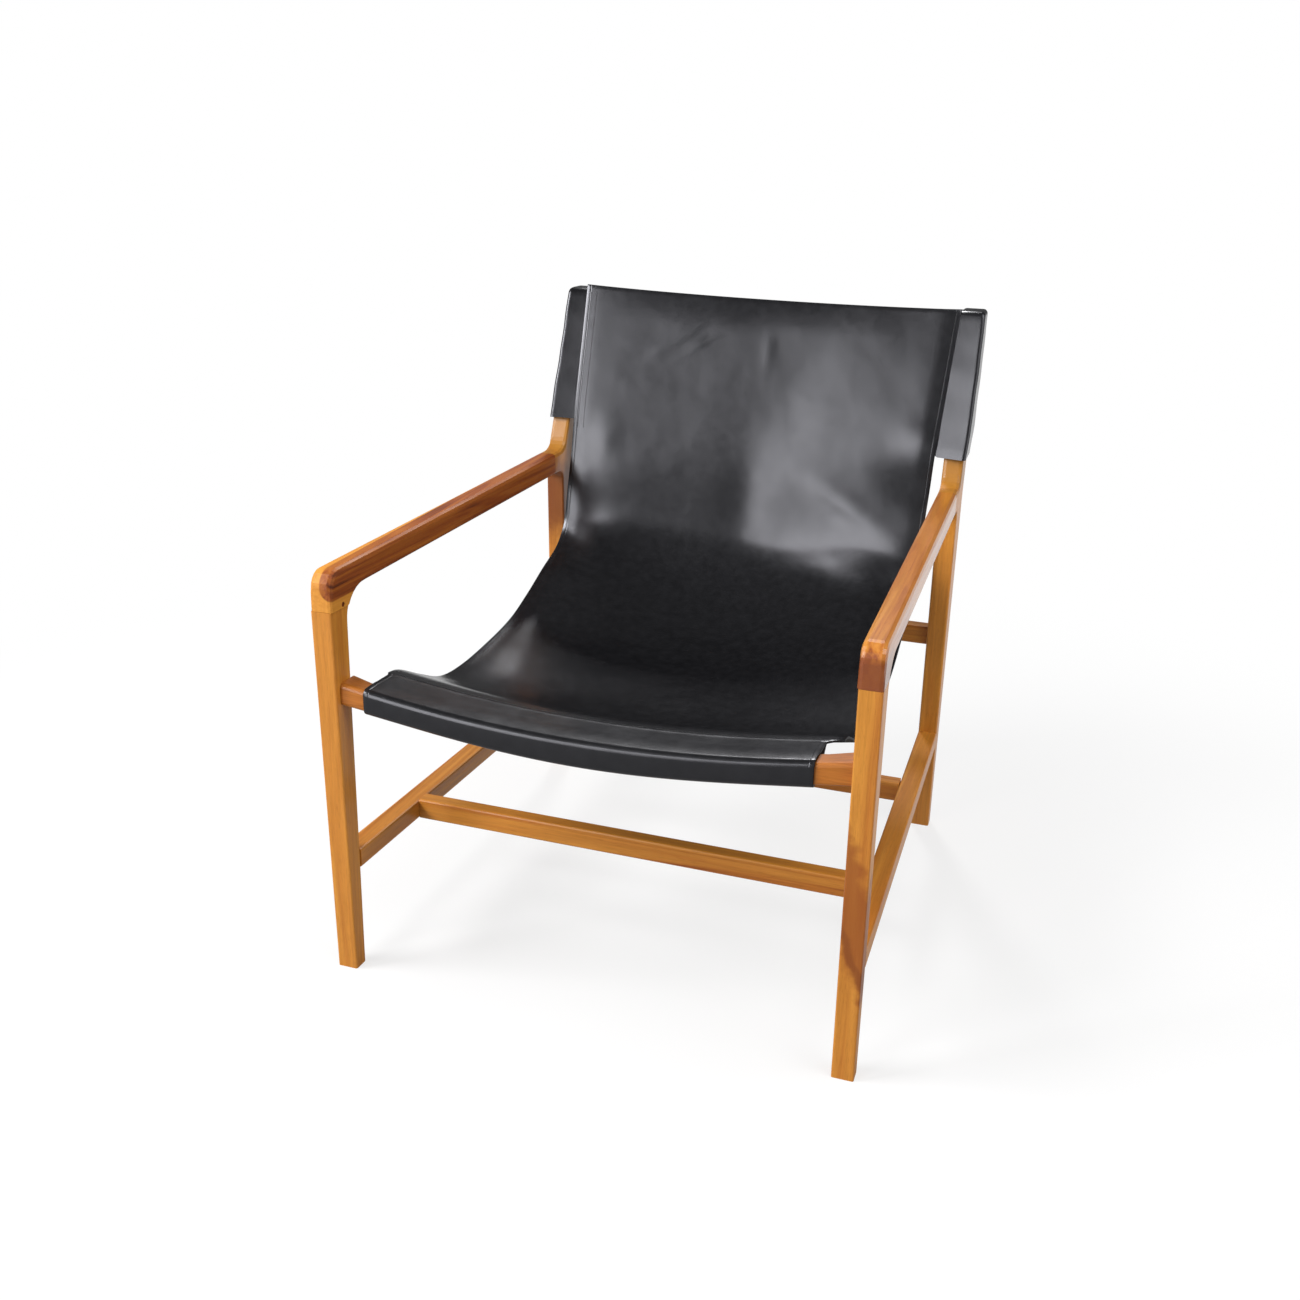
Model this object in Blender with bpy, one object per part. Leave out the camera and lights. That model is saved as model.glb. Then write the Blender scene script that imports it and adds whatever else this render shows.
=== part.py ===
"""Low armchair: a slim timber frame that carries one hung leather sling.

Lengths are in metres. X runs to the right as the chair is seen from the front, Y runs to
the rear and Z up. Left and right in the names are those of a person who looks at the front.
The sizes below have Y = 0 at the front of the front feet. The last step moves the whole
chair so that its origin lies on the floor under the middle of its box.
"""

import math

import bmesh
import bpy
from mathutils import Matrix, Vector


# Fits and finish

fit_gap = 0.0003
cut_overrun = 0.002
edge_round = 0.0025
round_steps = 2
turn_steps = 5
smooth_angle = math.radians(35)

# Side frames

front_width = 0.650
side_taper_share = 0.0222
side_lean_share = 0.0036
member_width = 0.027

# Front legs

front_leg_width = 0.0257
front_foot_depth = 0.0205
front_leg_lean = 0.0141
leg_tenon_width = 0.010
leg_tenon_depth = 0.018
leg_tenon_height = 0.022

# Armrests

arm_front_height = 0.5180
arm_nose_drop = 0.0474
arm_top_rise_share = 0.0235
arm_front_thickness = 0.0295
arm_under_rise_share = 0.0220
arm_nose_radius = 0.020
arm_under_radius = 0.037
arm_crown_round = 0.0055
arm_rear_place = 0.599

# Pegs and dowels

peg_radius = 0.0027
peg_length = 0.020
peg_rise = 0.0041
peg_offset = 0.0051
dowel_radius = 0.003
dowel_length = 0.034
dowel_height_shares = (0.3, 0.7)
rod_sides = 16

# Rear legs with the back posts

rear_foot_place = 0.6513
rear_foot_depth = 0.0227
bend_drop = 0.003
bend_front_place = 0.6278
bend_depth = 0.0576
bend_radius = 0.090
post_top_height = 0.7600
post_top_front_place = 0.7222
post_top_depth = 0.0290
stub_upper_radius = 0.026
stub_lower_radius = 0.014

# Stretchers and rails

tenon_length = 0.015
tenon_shoulder = 0.006
side_stretcher_height = 0.0245
side_stretcher_top = 0.1575
cross_depth = 0.021
cross_height = 0.0275
cross_top = 0.1600
front_cross_place = 0.163
rear_cross_place = 0.445
rear_rail_place = 0.648
rear_rail_top = 0.3195
rear_rail_height = 0.0273

# Front seat rail

seat_rail_place = -0.0035
seat_rail_depth = 0.028
seat_rail_height = 0.028
seat_rail_drop = 0.1335
seat_rail_bow = 0.027
seat_rail_low_place = -0.008
seat_rail_under_rise = 0.0025
seat_rail_end_flare = 0.005
seat_rail_round = 0.005
seat_rail_round_steps = 3
seat_rail_steps = 20

# Leather

leather = 0.0026
pocket_left_inset = 0.058
pocket_right_inset = 0.067
pocket_end_place = 0.0505
notch_run = 0.010
seat_left_inset = 0.0545
seat_right_inset = 0.0485
waist_left_inset = 0.054
waist_right_inset = 0.0585
back_top_left_inset = 0.045
back_top_right_inset = 0.0465
pocket_seam_place = 0.054
pocket_seam_margin = 0.012
seat_sag = 0.033
back_bow = 0.020
sling_left_rise = 0.0085
sling_right_rise = 0.0040
sling_top_dip = 0.0045
sling_columns = 12
sling_back_rows = 5
sling_row_steps = 2

# Each row of the sling between the rail and the bend of the back: its place as a share of
# the seat's depth, the height of its edge as a share of the seat's height, and how much of
# the rail's bow, of the seat's sag and of the back's bow its middle takes
sling_row_shares = (
    (0.048, 0.998, 1.00, 0.00, 0.00),
    (0.081, 0.996, 1.00, 0.00, 0.00),
    (0.097, 0.995, 1.00, 0.00, 0.00),
    (0.137, 0.979, 0.90, 0.05, 0.00),
    (0.218, 0.915, 0.70, 0.25, 0.00),
    (0.303, 0.857, 0.45, 0.50, 0.10),
    (0.398, 0.841, 0.20, 0.80, 0.20),
    (0.525, 0.852, 0.00, 1.00, 0.30),
    (0.643, 0.878, 0.00, 1.00, 0.40),
    (0.740, 0.929, 0.00, 1.00, 0.60),
    (0.828, 0.987, 0.00, 0.85, 0.80),
    (0.916, 1.043, 0.00, 0.40, 1.00),
    (0.965, 1.132, 0.00, 0.15, 0.95),
    (0.981, 1.237, 0.00, 0.00, 0.80),
    (0.994, 1.342, 0.00, 0.00, 0.70),
)
back_start_bow_share = 0.62
back_top_bow_share = 0.30

# Back sleeves

sleeve_leather = 0.0025
sleeve_round = 0.004
sleeve_left_bottom_share = 0.257
sleeve_right_bottom_share = 0.220
sleeve_flap_width = 0.020
sleeve_flap_bottom_share = 0.231
seam_inset = 0.009
thread_radius = 0.0004
thread_steps = 12

# Colours

oiled_wood = (0.62, 0.33, 0.12)
heartwood = (0.36, 0.13, 0.04)
black_hide = (0.018, 0.018, 0.020)
black_thread = (0.010, 0.010, 0.011)

left = -1
right = 1
side_names = {left: "left", right: "right"}

# Heights that follow the armrests, and widths that follow the side frames

leg_joint_height = arm_front_height - arm_nose_drop
bend_height = arm_front_height - bend_drop
seat_rail_end_top = arm_front_height - seat_rail_drop
half_width = front_width / 2
pocket_left = half_width - pocket_left_inset
pocket_right = half_width - pocket_right_inset


# Places that the pieces share

def side_x(place, height):
    """Return how far the outer face of a side frame stands from the middle plane."""
    return half_width - side_taper_share * place - side_lean_share * height


def arm_top(place):
    """Return the height of an armrest's upper face."""
    return arm_front_height + arm_top_rise_share * place


def arm_under(place):
    """Return the height of an armrest's lower face."""
    return arm_front_height - arm_front_thickness + arm_under_rise_share * place


def rear_leg_face(height):
    """Return the place of the front face of a rear leg, below the bend."""
    return rear_foot_place + (bend_front_place - rear_foot_place) * height / bend_height


def post_face(height):
    """Return the place of the front face of a back post, above the bend."""
    run = post_top_front_place - bend_front_place
    return bend_front_place + run * (height - bend_height) / (post_top_height - bend_height)


def post_back(height):
    """Return the place of the rear face of a back post, above the bend."""
    bend_back = bend_front_place + bend_depth
    run = post_top_front_place + post_top_depth - bend_back
    return bend_back + run * (height - bend_height) / (post_top_height - bend_height)


def level_reach(thickness):
    """Return the level reach of a layer that lies on the leaning front of a back post."""
    lean = math.atan2(post_top_front_place - bend_front_place, post_top_height - bend_height)
    return thickness / math.cos(lean)


def panel_face(height):
    """Return the place of the sling's front face where it lies on the sleeves' flaps."""
    return post_face(height) - level_reach(leather + sleeve_leather + 2 * fit_gap)


def seat_rail_end(place, height):
    """Return half the length of the seat rail, between the legs' inner faces."""
    return side_x(place, height) - front_leg_width - fit_gap


def seat_rail_top(x):
    """Return the height of the bowed seat rail's upper face."""
    half = half_width - front_leg_width
    return seat_rail_end_top - seat_rail_bow * (1 - ((x - seat_rail_low_place) / half) ** 2)


def seat_rail_under(x):
    """Return the height of the bowed seat rail's lower face, which rises sooner than the top."""
    half = half_width - front_leg_width
    reach = ((x - seat_rail_low_place) / half) ** 2
    bulge = 4 * max(reach * (1 - reach), 0)
    return seat_rail_top(x) - seat_rail_height + seat_rail_under_rise * bulge


# Outlines

def mix(first, second, share):
    """Return a value at a share of the way between two others."""
    return first + (second - first) * share


def clamp_share(share):
    """Return a share held between none and all."""
    return min(max(share, 0), 1)


def turned_corner(before, corner, after, radius, steps):
    """Return the points of an arc that turns a corner of an outline."""
    inward = (before - corner).normalized()
    outward = (after - corner).normalized()
    half_angle = inward.angle(outward) / 2
    reach = radius / math.tan(half_angle)
    centre = corner + (inward + outward).normalized() * radius / math.sin(half_angle)
    start = corner + inward * reach - centre
    end = corner + outward * reach - centre
    sweep = start.angle(end)
    points = []
    for step in range(steps + 1):
        share = step / steps
        along = (start * math.sin((1 - share) * sweep) + end * math.sin(share * sweep)) / math.sin(sweep)
        points.append(centre + along)
    return points


def outline(corners):
    """Return an outline's points, and for each point the round of the edge that ends there.

    A corner holds its place, its height, the radius that turns it and that edge's round.
    """
    count = len(corners)
    points = []
    rounds = []
    for index, (place, height, turn, rounding) in enumerate(corners):
        corner = Vector((place, height))
        if turn:
            before = Vector(corners[index - 1][:2])
            after = Vector(corners[(index + 1) % count][:2])
            arc = turned_corner(before, corner, after, turn, turn_steps)
        else:
            arc = [corner]
        points.extend(arc)
        rounds.extend([rounding] * len(arc))
    return points, rounds


def rounded_rectangle(low_x, high_x, low_y, high_y, radius, steps):
    """Return the points of a rectangle with round corners, anticlockwise from its right side."""
    points = []
    centres = (
        (high_x - radius, high_y - radius),
        (low_x + radius, high_y - radius),
        (low_x + radius, low_y + radius),
        (high_x - radius, low_y + radius),
    )
    for quarter, (x, y) in enumerate(centres):
        for step in range(steps + 1):
            angle = (quarter + step / steps) * math.pi / 2
            points.append((x + radius * math.cos(angle), y + radius * math.sin(angle)))
    return points


# Objects

def make_material(name, colour, roughness, coat=0.0):
    """Return a plain material."""
    material = bpy.data.materials.new(name)
    material.use_nodes = True
    shader = material.node_tree.nodes["Principled BSDF"]
    shader.inputs["Base Color"].default_value = (*colour, 1)
    shader.inputs["Roughness"].default_value = roughness
    shader.inputs["Metallic"].default_value = 0
    shader.inputs["Coat Weight"].default_value = coat
    return material


def make_object(name, mesh, material, parent):
    """Turn a bmesh into a smooth shaded object under the chair's origin."""
    mesh.normal_update()
    bmesh.ops.recalc_face_normals(mesh, faces=mesh.faces)
    data = bpy.data.meshes.new(name)
    mesh.to_mesh(data)
    mesh.free()
    data.shade_smooth()
    data.set_sharp_from_angle(angle=smooth_angle)
    piece = bpy.data.objects.new(name, data)
    piece.parent = parent
    if material:
        data.materials.append(material)
    bpy.context.scene.collection.objects.link(piece)
    return piece


def lay_on_side(mesh, side):
    """Move points given as (inset, place, height) onto the slanted plane of a side frame."""
    for vertex in mesh.verts:
        inset, place, height = vertex.co
        vertex.co.x = side * (side_x(place, height) - inset)


def side_piece(name, side, width, points, rounds, material, parent):
    """Make a flat sawn piece of a side frame from its outline, with rounded long edges."""
    mesh = bmesh.new()
    outer = [mesh.verts.new((0, place, height)) for place, height in points]
    inner = [mesh.verts.new((width, place, height)) for place, height in points]
    mesh.faces.new(outer)
    mesh.faces.new(reversed(inner))
    count = len(points)
    for index in range(count):
        after = (index + 1) % count
        mesh.faces.new((outer[index], inner[index], inner[after], outer[after]))
    widest = max(rounds)
    weights = mesh.edges.layers.float.new("bevel_weight_edge")
    for index in range(count):
        after = (index + 1) % count
        weight = rounds[after] / widest
        mesh.edges.get((outer[index], outer[after]))[weights] = weight
        mesh.edges.get((inner[index], inner[after]))[weights] = weight
    lay_on_side(mesh, side)
    piece = make_object(name, mesh, material, parent)
    rounding = piece.modifiers.new("Rounded edges", "BEVEL")
    rounding.limit_method = "WEIGHT"
    rounding.width = widest
    rounding.segments = round_steps
    return piece


def tenoned_bar(name, start, end, run, round_width, material, parent, side=None):
    """Make a bar between two four-cornered ends, with a tenon on each end."""
    mesh = bmesh.new()
    first = [mesh.verts.new(corner) for corner in start]
    last = [mesh.verts.new(corner) for corner in end]
    first_face = mesh.faces.new(reversed(first))
    last_face = mesh.faces.new(last)
    long_edges = []
    for index in range(4):
        after = (index + 1) % 4
        mesh.faces.new((first[index], first[after], last[after], last[index]))
        long_edges.append(mesh.edges.get((first[index], last[index])))
    mesh.normal_update()
    bmesh.ops.recalc_face_normals(mesh, faces=mesh.faces)
    for face, reach in ((first_face, -tenon_length), (last_face, tenon_length)):
        bmesh.ops.inset_region(mesh, faces=[face], thickness=tenon_shoulder, use_even_offset=True)
        tenon = bmesh.ops.extrude_discrete_faces(mesh, faces=[face])["faces"][0]
        bmesh.ops.translate(mesh, verts=tenon.verts, vec=Vector(run) * reach)
    bmesh.ops.bevel(
        mesh, geom=long_edges, offset=round_width, segments=round_steps, profile=0.5, affect="EDGES"
    )
    if side:
        lay_on_side(mesh, side)
    return make_object(name, mesh, material, parent)


def add_block(mesh, low, high):
    """Add a block between two opposite corners to a bmesh."""
    low = Vector(low)
    high = Vector(high)
    size = high - low
    place = Matrix.Translation((low + high) / 2) @ Matrix.Diagonal((*size, 1))
    bmesh.ops.create_cube(mesh, size=1, matrix=place)


def add_rod(mesh, start, end, radius):
    """Add a round rod between two points to a bmesh."""
    start = Vector(start)
    end = Vector(end)
    turn = (end - start).to_track_quat("Z", "Y").to_matrix().to_4x4()
    place = Matrix.Translation((start + end) / 2) @ turn
    bmesh.ops.create_cone(
        mesh, cap_ends=True, segments=rod_sides, radius1=radius, radius2=radius,
        depth=(end - start).length, matrix=place,
    )


def apply_tool(piece, name, mesh, operation, parent):
    """Cut or join a piece with a hidden helper made from a bmesh."""
    helper = make_object(piece.name + "_" + name, mesh, None, parent)
    helper.hide_render = True
    helper.display_type = "WIRE"
    joint = piece.modifiers.new(name.capitalize(), "BOOLEAN")
    joint.operation = operation
    joint.object = helper


def add_bar_mortise(mesh, place, depth, top, height, width):
    """Add the mortise of a cross bar's tenon, cut from a side piece's inner face."""
    low = (width - tenon_length - fit_gap, place + tenon_shoulder - fit_gap,
           top - height + tenon_shoulder - fit_gap)
    high = (width + cut_overrun, place + depth - tenon_shoulder + fit_gap,
            top - tenon_shoulder + fit_gap)
    add_block(mesh, low, high)


def add_side_mortise(mesh, start, end):
    """Add the mortise of a side stretcher's tenon between two places."""
    bottom = side_stretcher_top - side_stretcher_height
    low = (tenon_shoulder - fit_gap, start, bottom + tenon_shoulder - fit_gap)
    high = (member_width - tenon_shoulder + fit_gap, end, side_stretcher_top - tenon_shoulder + fit_gap)
    add_block(mesh, low, high)


# Side frames

def leg_curve_start():
    """Return the height where a front leg's rear face starts to curve to the armrest."""
    return arm_under(front_foot_depth + arm_under_radius) - arm_under_radius


def leg_curve(height):
    """Return the place of the curve that joins a front leg's rear face to the armrest."""
    centre_place = front_foot_depth + arm_under_radius
    rise = height - leg_curve_start()
    return centre_place - math.sqrt(max(arm_under_radius ** 2 - rise ** 2, 0))


def leg_curve_corners(low, high):
    """Return corners along that curve between two heights, upwards."""
    corners = []
    for step in range(turn_steps + 1):
        height = mix(low, high, math.sin(step / turn_steps * math.pi / 2))
        corners.append((leg_curve(height), height, 0, edge_round))
    return corners


def leg_middle():
    """Return the place of the middle of a front leg's upper end."""
    return (leg_curve(leg_joint_height) - front_leg_lean) / 2


def peg_place():
    """Return the place of the peg, behind the middle of the leg's tenon."""
    return leg_middle() + peg_offset


def make_front_leg(side, material, parent):
    """Make a front leg, with the tenon that enters the armrest."""
    corners = [(0, 0, 0, edge_round), (front_foot_depth, 0, 0, 0)]
    corners += leg_curve_corners(leg_curve_start(), leg_joint_height)
    corners.append((-front_leg_lean, leg_joint_height, 0, 0))
    points, rounds = outline(corners)
    leg = side_piece("front_leg_" + side_names[side], side, front_leg_width, points, rounds,
                     material, parent)

    tenon = bmesh.new()
    middle = leg_middle()
    inset = (front_leg_width - leg_tenon_width) / 2
    add_block(tenon, (inset, middle - leg_tenon_depth / 2, leg_joint_height - cut_overrun),
              (inset + leg_tenon_width, middle + leg_tenon_depth / 2,
               leg_joint_height + leg_tenon_height))
    lay_on_side(tenon, side)
    apply_tool(leg, "tenon", tenon, "UNION", parent)

    mortises = bmesh.new()
    add_side_mortise(mortises, front_foot_depth - tenon_length - fit_gap,
                     front_foot_depth + cut_overrun)
    add_bar_mortise(mortises, seat_rail_place, seat_rail_depth, seat_rail_end_top,
                    seat_rail_height, front_leg_width)
    add_peg_hole(mortises)
    lay_on_side(mortises, side)
    apply_tool(leg, "mortises", mortises, "DIFFERENCE", parent)


def add_peg_hole(mesh):
    """Add the hole of the peg that locks the leg's tenon in the armrest."""
    height = leg_joint_height + peg_rise
    add_rod(mesh, (member_width - peg_length - fit_gap, peg_place(), height),
            (member_width + cut_overrun, peg_place(), height), peg_radius + fit_gap)


def make_armrest(side, material, parent):
    """Make an armrest, turned down at its nose onto the front leg."""
    seat = leg_joint_height + fit_gap
    rear = arm_rear_place - fit_gap
    corners = [
        (-front_leg_lean, seat, 0, edge_round),
        (leg_curve(seat), seat, 0, 0),
    ]
    corners += leg_curve_corners(seat, leg_curve_start() + arm_under_radius)[1:]
    corners += [
        (rear, arm_under(rear), 0, edge_round),
        (rear, arm_top(rear), 0, 0),
        (-front_leg_lean, arm_top(-front_leg_lean), arm_nose_radius, arm_crown_round),
    ]
    points, rounds = outline(corners)
    arm = side_piece("armrest_" + side_names[side], side, member_width, points, rounds,
                     material, parent)

    holes = bmesh.new()
    middle = leg_middle()
    inset = (front_leg_width - leg_tenon_width) / 2
    add_block(holes, (inset - fit_gap, middle - leg_tenon_depth / 2 - fit_gap,
                     leg_joint_height - cut_overrun),
              (inset + leg_tenon_width + fit_gap, middle + leg_tenon_depth / 2 + fit_gap,
               leg_joint_height + leg_tenon_height + fit_gap))
    add_dowel_holes(holes, rear - dowel_length / 2, rear + cut_overrun)
    lay_on_side(holes, side)
    apply_tool(arm, "mortises", holes, "DIFFERENCE", parent)

    peg_hole = bmesh.new()
    add_peg_hole(peg_hole)
    lay_on_side(peg_hole, side)
    apply_tool(arm, "peg_hole", peg_hole, "DIFFERENCE", parent)


def dowel_heights():
    """Return the heights of the dowels between an armrest and its post."""
    low = arm_under(arm_rear_place)
    high = arm_top(arm_rear_place)
    return [low + (high - low) * share for share in dowel_height_shares]


def add_dowel_holes(mesh, start, end):
    """Add the holes of an armrest's dowels between two places."""
    for height in dowel_heights():
        add_rod(mesh, (member_width / 2, start, height), (member_width / 2, end, height),
                dowel_radius + fit_gap)


def make_rear_leg(side, material, parent):
    """Make a rear leg in one piece with its back post and the stub that meets the armrest."""
    stub = arm_rear_place
    stub_bottom = arm_under(stub)
    stub_top = arm_top(stub)
    leg_corner = arm_under(rear_leg_face(bend_height))
    post_corner = arm_top(post_face(arm_top(bend_front_place)))
    bend_back = bend_front_place + bend_depth
    corners = [
        (rear_foot_place, 0, 0, 0),
        (rear_leg_face(leg_corner), leg_corner, stub_lower_radius, edge_round),
        (stub, stub_bottom, 0, edge_round),
        (stub, stub_top, 0, 0),
        (post_face(post_corner), post_corner, stub_upper_radius, arm_crown_round),
        (post_top_front_place, post_top_height, 0, edge_round),
        (post_top_front_place + post_top_depth, post_top_height, 0, 0),
        (bend_back, bend_height, bend_radius, edge_round),
        (rear_foot_place + rear_foot_depth, 0, 0, edge_round),
    ]
    points, rounds = outline(corners)
    leg = side_piece("rear_leg_" + side_names[side], side, member_width, points, rounds,
                     material, parent)

    mortises = bmesh.new()
    stretcher_bottom = side_stretcher_top - side_stretcher_height
    add_side_mortise(mortises, rear_leg_face(side_stretcher_top) - cut_overrun,
                     rear_leg_face(stretcher_bottom) + tenon_length + fit_gap)
    add_bar_mortise(mortises, rear_rail_place, cross_depth, rear_rail_top, rear_rail_height,
                    member_width)
    add_dowel_holes(mortises, stub - cut_overrun, stub + dowel_length / 2)
    lay_on_side(mortises, side)
    apply_tool(leg, "mortises", mortises, "DIFFERENCE", parent)


def make_side_stretcher(side, material, parent):
    """Make the stretcher that joins a front leg to a rear leg."""
    bottom = side_stretcher_top - side_stretcher_height
    front = front_foot_depth + fit_gap
    start = [(inset, front, height) for inset, height in
             ((0, bottom), (0, side_stretcher_top), (member_width, side_stretcher_top),
              (member_width, bottom))]
    end = [(inset, rear_leg_face(height) - fit_gap, height) for inset, front, height in start]
    bar = tenoned_bar("side_stretcher_" + side_names[side], start, end, (0, 1, 0), edge_round,
                      material, parent, side)
    mortises = bmesh.new()
    for place in (front_cross_place, rear_cross_place):
        add_bar_mortise(mortises, place, cross_depth, cross_top, cross_height, member_width)
    lay_on_side(mortises, side)
    apply_tool(bar, "mortises", mortises, "DIFFERENCE", parent)


def make_peg(side, material, parent):
    """Make the peg that locks a front leg's tenon in its armrest."""
    mesh = bmesh.new()
    height = leg_joint_height + peg_rise
    add_rod(mesh, (member_width - peg_length, peg_place(), height),
            (member_width - fit_gap, peg_place(), height), peg_radius)
    lay_on_side(mesh, side)
    make_object("arm_peg_" + side_names[side], mesh, material, parent)


def make_dowels(side, material, parent):
    """Make the two dowels between an armrest and its back post."""
    half = dowel_length / 2 - fit_gap
    for name, height in zip(("lower", "upper"), dowel_heights()):
        mesh = bmesh.new()
        add_rod(mesh, (member_width / 2, arm_rear_place - half, height),
                (member_width / 2, arm_rear_place + half, height), dowel_radius)
        lay_on_side(mesh, side)
        make_object("arm_dowel_" + side_names[side] + "_" + name, mesh, material, parent)


# Bars across the chair

def make_cross_bar(name, place, top, height, material, parent):
    """Make a straight bar between the inner faces of the side frames."""
    bottom = top - height
    corners = ((place, bottom), (place, top), (place + cross_depth, top),
               (place + cross_depth, bottom))
    start = []
    end = []
    for y, z in corners:
        half = side_x(y, z) - member_width - fit_gap
        start.append((-half, y, z))
        end.append((half, y, z))
    tenoned_bar(name, start, end, (1, 0, 0), edge_round, material, parent)


def seat_rail_back(x):
    """Return the place of the seat rail's rear face, which flares towards the legs."""
    bare_start = max(pocket_left, pocket_right)
    bare_end = seat_rail_end(seat_rail_place, seat_rail_end_top)
    share = clamp_share((abs(x) - bare_start) / (bare_end - bare_start))
    return seat_rail_place + seat_rail_depth + seat_rail_end_flare * share


def make_seat_rail(material, parent):
    """Make the bowed front rail that carries the sling's pocket."""
    mesh = bmesh.new()
    rings = []
    for step in range(seat_rail_steps + 1):
        across = 2 * step / seat_rail_steps - 1
        x = across * seat_rail_end(seat_rail_place, seat_rail_end_top)
        top = seat_rail_top(x)
        section = rounded_rectangle(seat_rail_place, seat_rail_back(x), seat_rail_under(x), top,
                                    seat_rail_round, seat_rail_round_steps)
        ring = []
        for y, z in section:
            end = seat_rail_end(y, z)
            ring.append(mesh.verts.new((across * end, y, z)))
        rings.append(ring)
    count = len(rings[0])
    for ring, after in zip(rings, rings[1:]):
        for index in range(count):
            beside = (index + 1) % count
            mesh.faces.new((ring[index], ring[beside], after[beside], after[index]))
    mesh.faces.new(reversed(rings[0]))
    mesh.faces.new(rings[-1])
    rail = make_object("front_seat_rail", mesh, material, parent)

    tenons = bmesh.new()
    end = seat_rail_end(seat_rail_place, seat_rail_end_top)
    low = (end - cut_overrun, seat_rail_place + tenon_shoulder,
           seat_rail_end_top - seat_rail_height + tenon_shoulder)
    high = (end + tenon_length, seat_rail_place + seat_rail_depth - tenon_shoulder,
            seat_rail_end_top - tenon_shoulder)
    add_block(tenons, low, high)
    add_block(tenons, (-high[0], low[1], low[2]), (-low[0], high[1], high[2]))
    apply_tool(rail, "tenons", tenons, "UNION", parent)


# Leather sling

def smooth_rows(rows, steps):
    """Return rows read from a smooth curve through the given rows."""
    result = []
    last = len(rows) - 1
    for index in range(last):
        before = rows[max(index - 1, 0)]
        after = rows[min(index + 2, last)]
        for step in range(steps):
            t = step / steps
            row = []
            for a, b, c, d in zip(before, rows[index], rows[index + 1], after):
                pull = 2 * b + (c - a) * t + (2 * a - 5 * b + 4 * c - d) * t ** 2
                pull += (3 * b - a - 3 * c + d) * t ** 3
                row.append(pull / 2)
            result.append(tuple(row))
    result.append(rows[last])
    return result


def sling_edges(place, height):
    """Return the X of the sling's left and right edges."""
    if height > bend_height:
        share = (height - bend_height) / (post_top_height - bend_height)
        left_inset = mix(waist_left_inset, back_top_left_inset, share)
        right_inset = mix(waist_right_inset, back_top_right_inset, share)
        return left_inset - half_width, half_width - right_inset
    open_share = clamp_share((place - pocket_end_place) / notch_run)
    back_share = clamp_share((place - pocket_end_place) / (bend_front_place - pocket_end_place))
    left_seat = mix(seat_left_inset, waist_left_inset, back_share)
    right_seat = mix(seat_right_inset, waist_right_inset, back_share)
    left_inset = mix(pocket_left_inset, left_seat, open_share)
    right_inset = mix(pocket_right_inset, right_seat, open_share)
    return left_inset - half_width, half_width - right_inset


def seat_height():
    """Return the height of the leather on the seat rail at the pocket's edge."""
    return seat_rail_top(pocket_left) + fit_gap + leather


def seat_points(across):
    """Return the sling's upper face along one column, from the rail to the bend."""
    points = []
    for depth, height, rail_follow, sag, bow in smooth_rows(sling_row_shares, sling_row_steps):
        place = depth * bend_front_place
        top = height * seat_height()
        x = mix(*sling_edges(place, top), (across + 1) / 2)
        middle = 1 - across ** 2
        on_rail = min(max(x, -pocket_left), pocket_left)
        rail_drop = seat_rail_top(pocket_left) - seat_rail_top(on_rail)
        points.append(Vector((
            x,
            place + bow * back_bow * middle ** 2,
            top - rail_follow * rail_drop - sag * seat_sag * middle,
        )))
    return points


def back_points(across):
    """Return the sling's front face along one column, from the bend to its top edge."""
    points = []
    lowest = sling_row_shares[-1][1] * seat_height()
    middle = 1 - across ** 2
    rise = mix(sling_left_rise, sling_right_rise, (across + 1) / 2)
    top = post_top_height + rise - sling_top_dip * middle
    for row in range(1, sling_back_rows + 1):
        share = row / sling_back_rows
        height = mix(lowest, top, share)
        bow = mix(back_start_bow_share, back_top_bow_share, share) * back_bow
        surface = panel_face(height)
        x = mix(*sling_edges(surface, height), (across + 1) / 2)
        points.append(Vector((x, surface + bow * middle ** 2, height)))
    return points


def height_on(points, place):
    """Return the height at a place along a column of points."""
    for first, second in zip(points, points[1:]):
        if first.y <= place <= second.y:
            return mix(first.z, second.z, (place - first.y) / (second.y - first.y))
    return points[0].z


def pocket_points(across, seat):
    """Return the sling's outer face along one column, from the sewn end round the rail."""
    x = mix(-pocket_left, pocket_right, (across + 1) / 2)
    reach = fit_gap + leather
    turn = seat_rail_round + reach / math.cos(math.pi / 4 / seat_rail_round_steps)
    top = seat_rail_top(x)
    front = seat_rail_place + seat_rail_round
    back = seat_rail_place + seat_rail_depth - seat_rail_round
    low = seat_rail_under(x) + seat_rail_round
    high = top - seat_rail_round
    points = []
    under = 2 * (leather + fit_gap)
    for place in (pocket_seam_place + pocket_seam_margin, pocket_seam_place):
        points.append(Vector((x, place, height_on(seat, place) - under)))
    corners = (
        (back, low, -50, -90),
        (front, low, -90, -180),
        (front, high, -180, -270),
    )
    for place, height, start, end in corners:
        for step in range(seat_rail_round_steps + 1):
            angle = math.radians(mix(start, end, step / seat_rail_round_steps))
            points.append(Vector((x, place + turn * math.cos(angle), height + turn * math.sin(angle))))
    points.append(Vector((x, back, points[-1].z)))
    return points


def sling_column(across):
    """Return all points of one column of the sling's outer face."""
    seat = seat_points(across)
    return pocket_points(across, seat) + seat + back_points(across)


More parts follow.
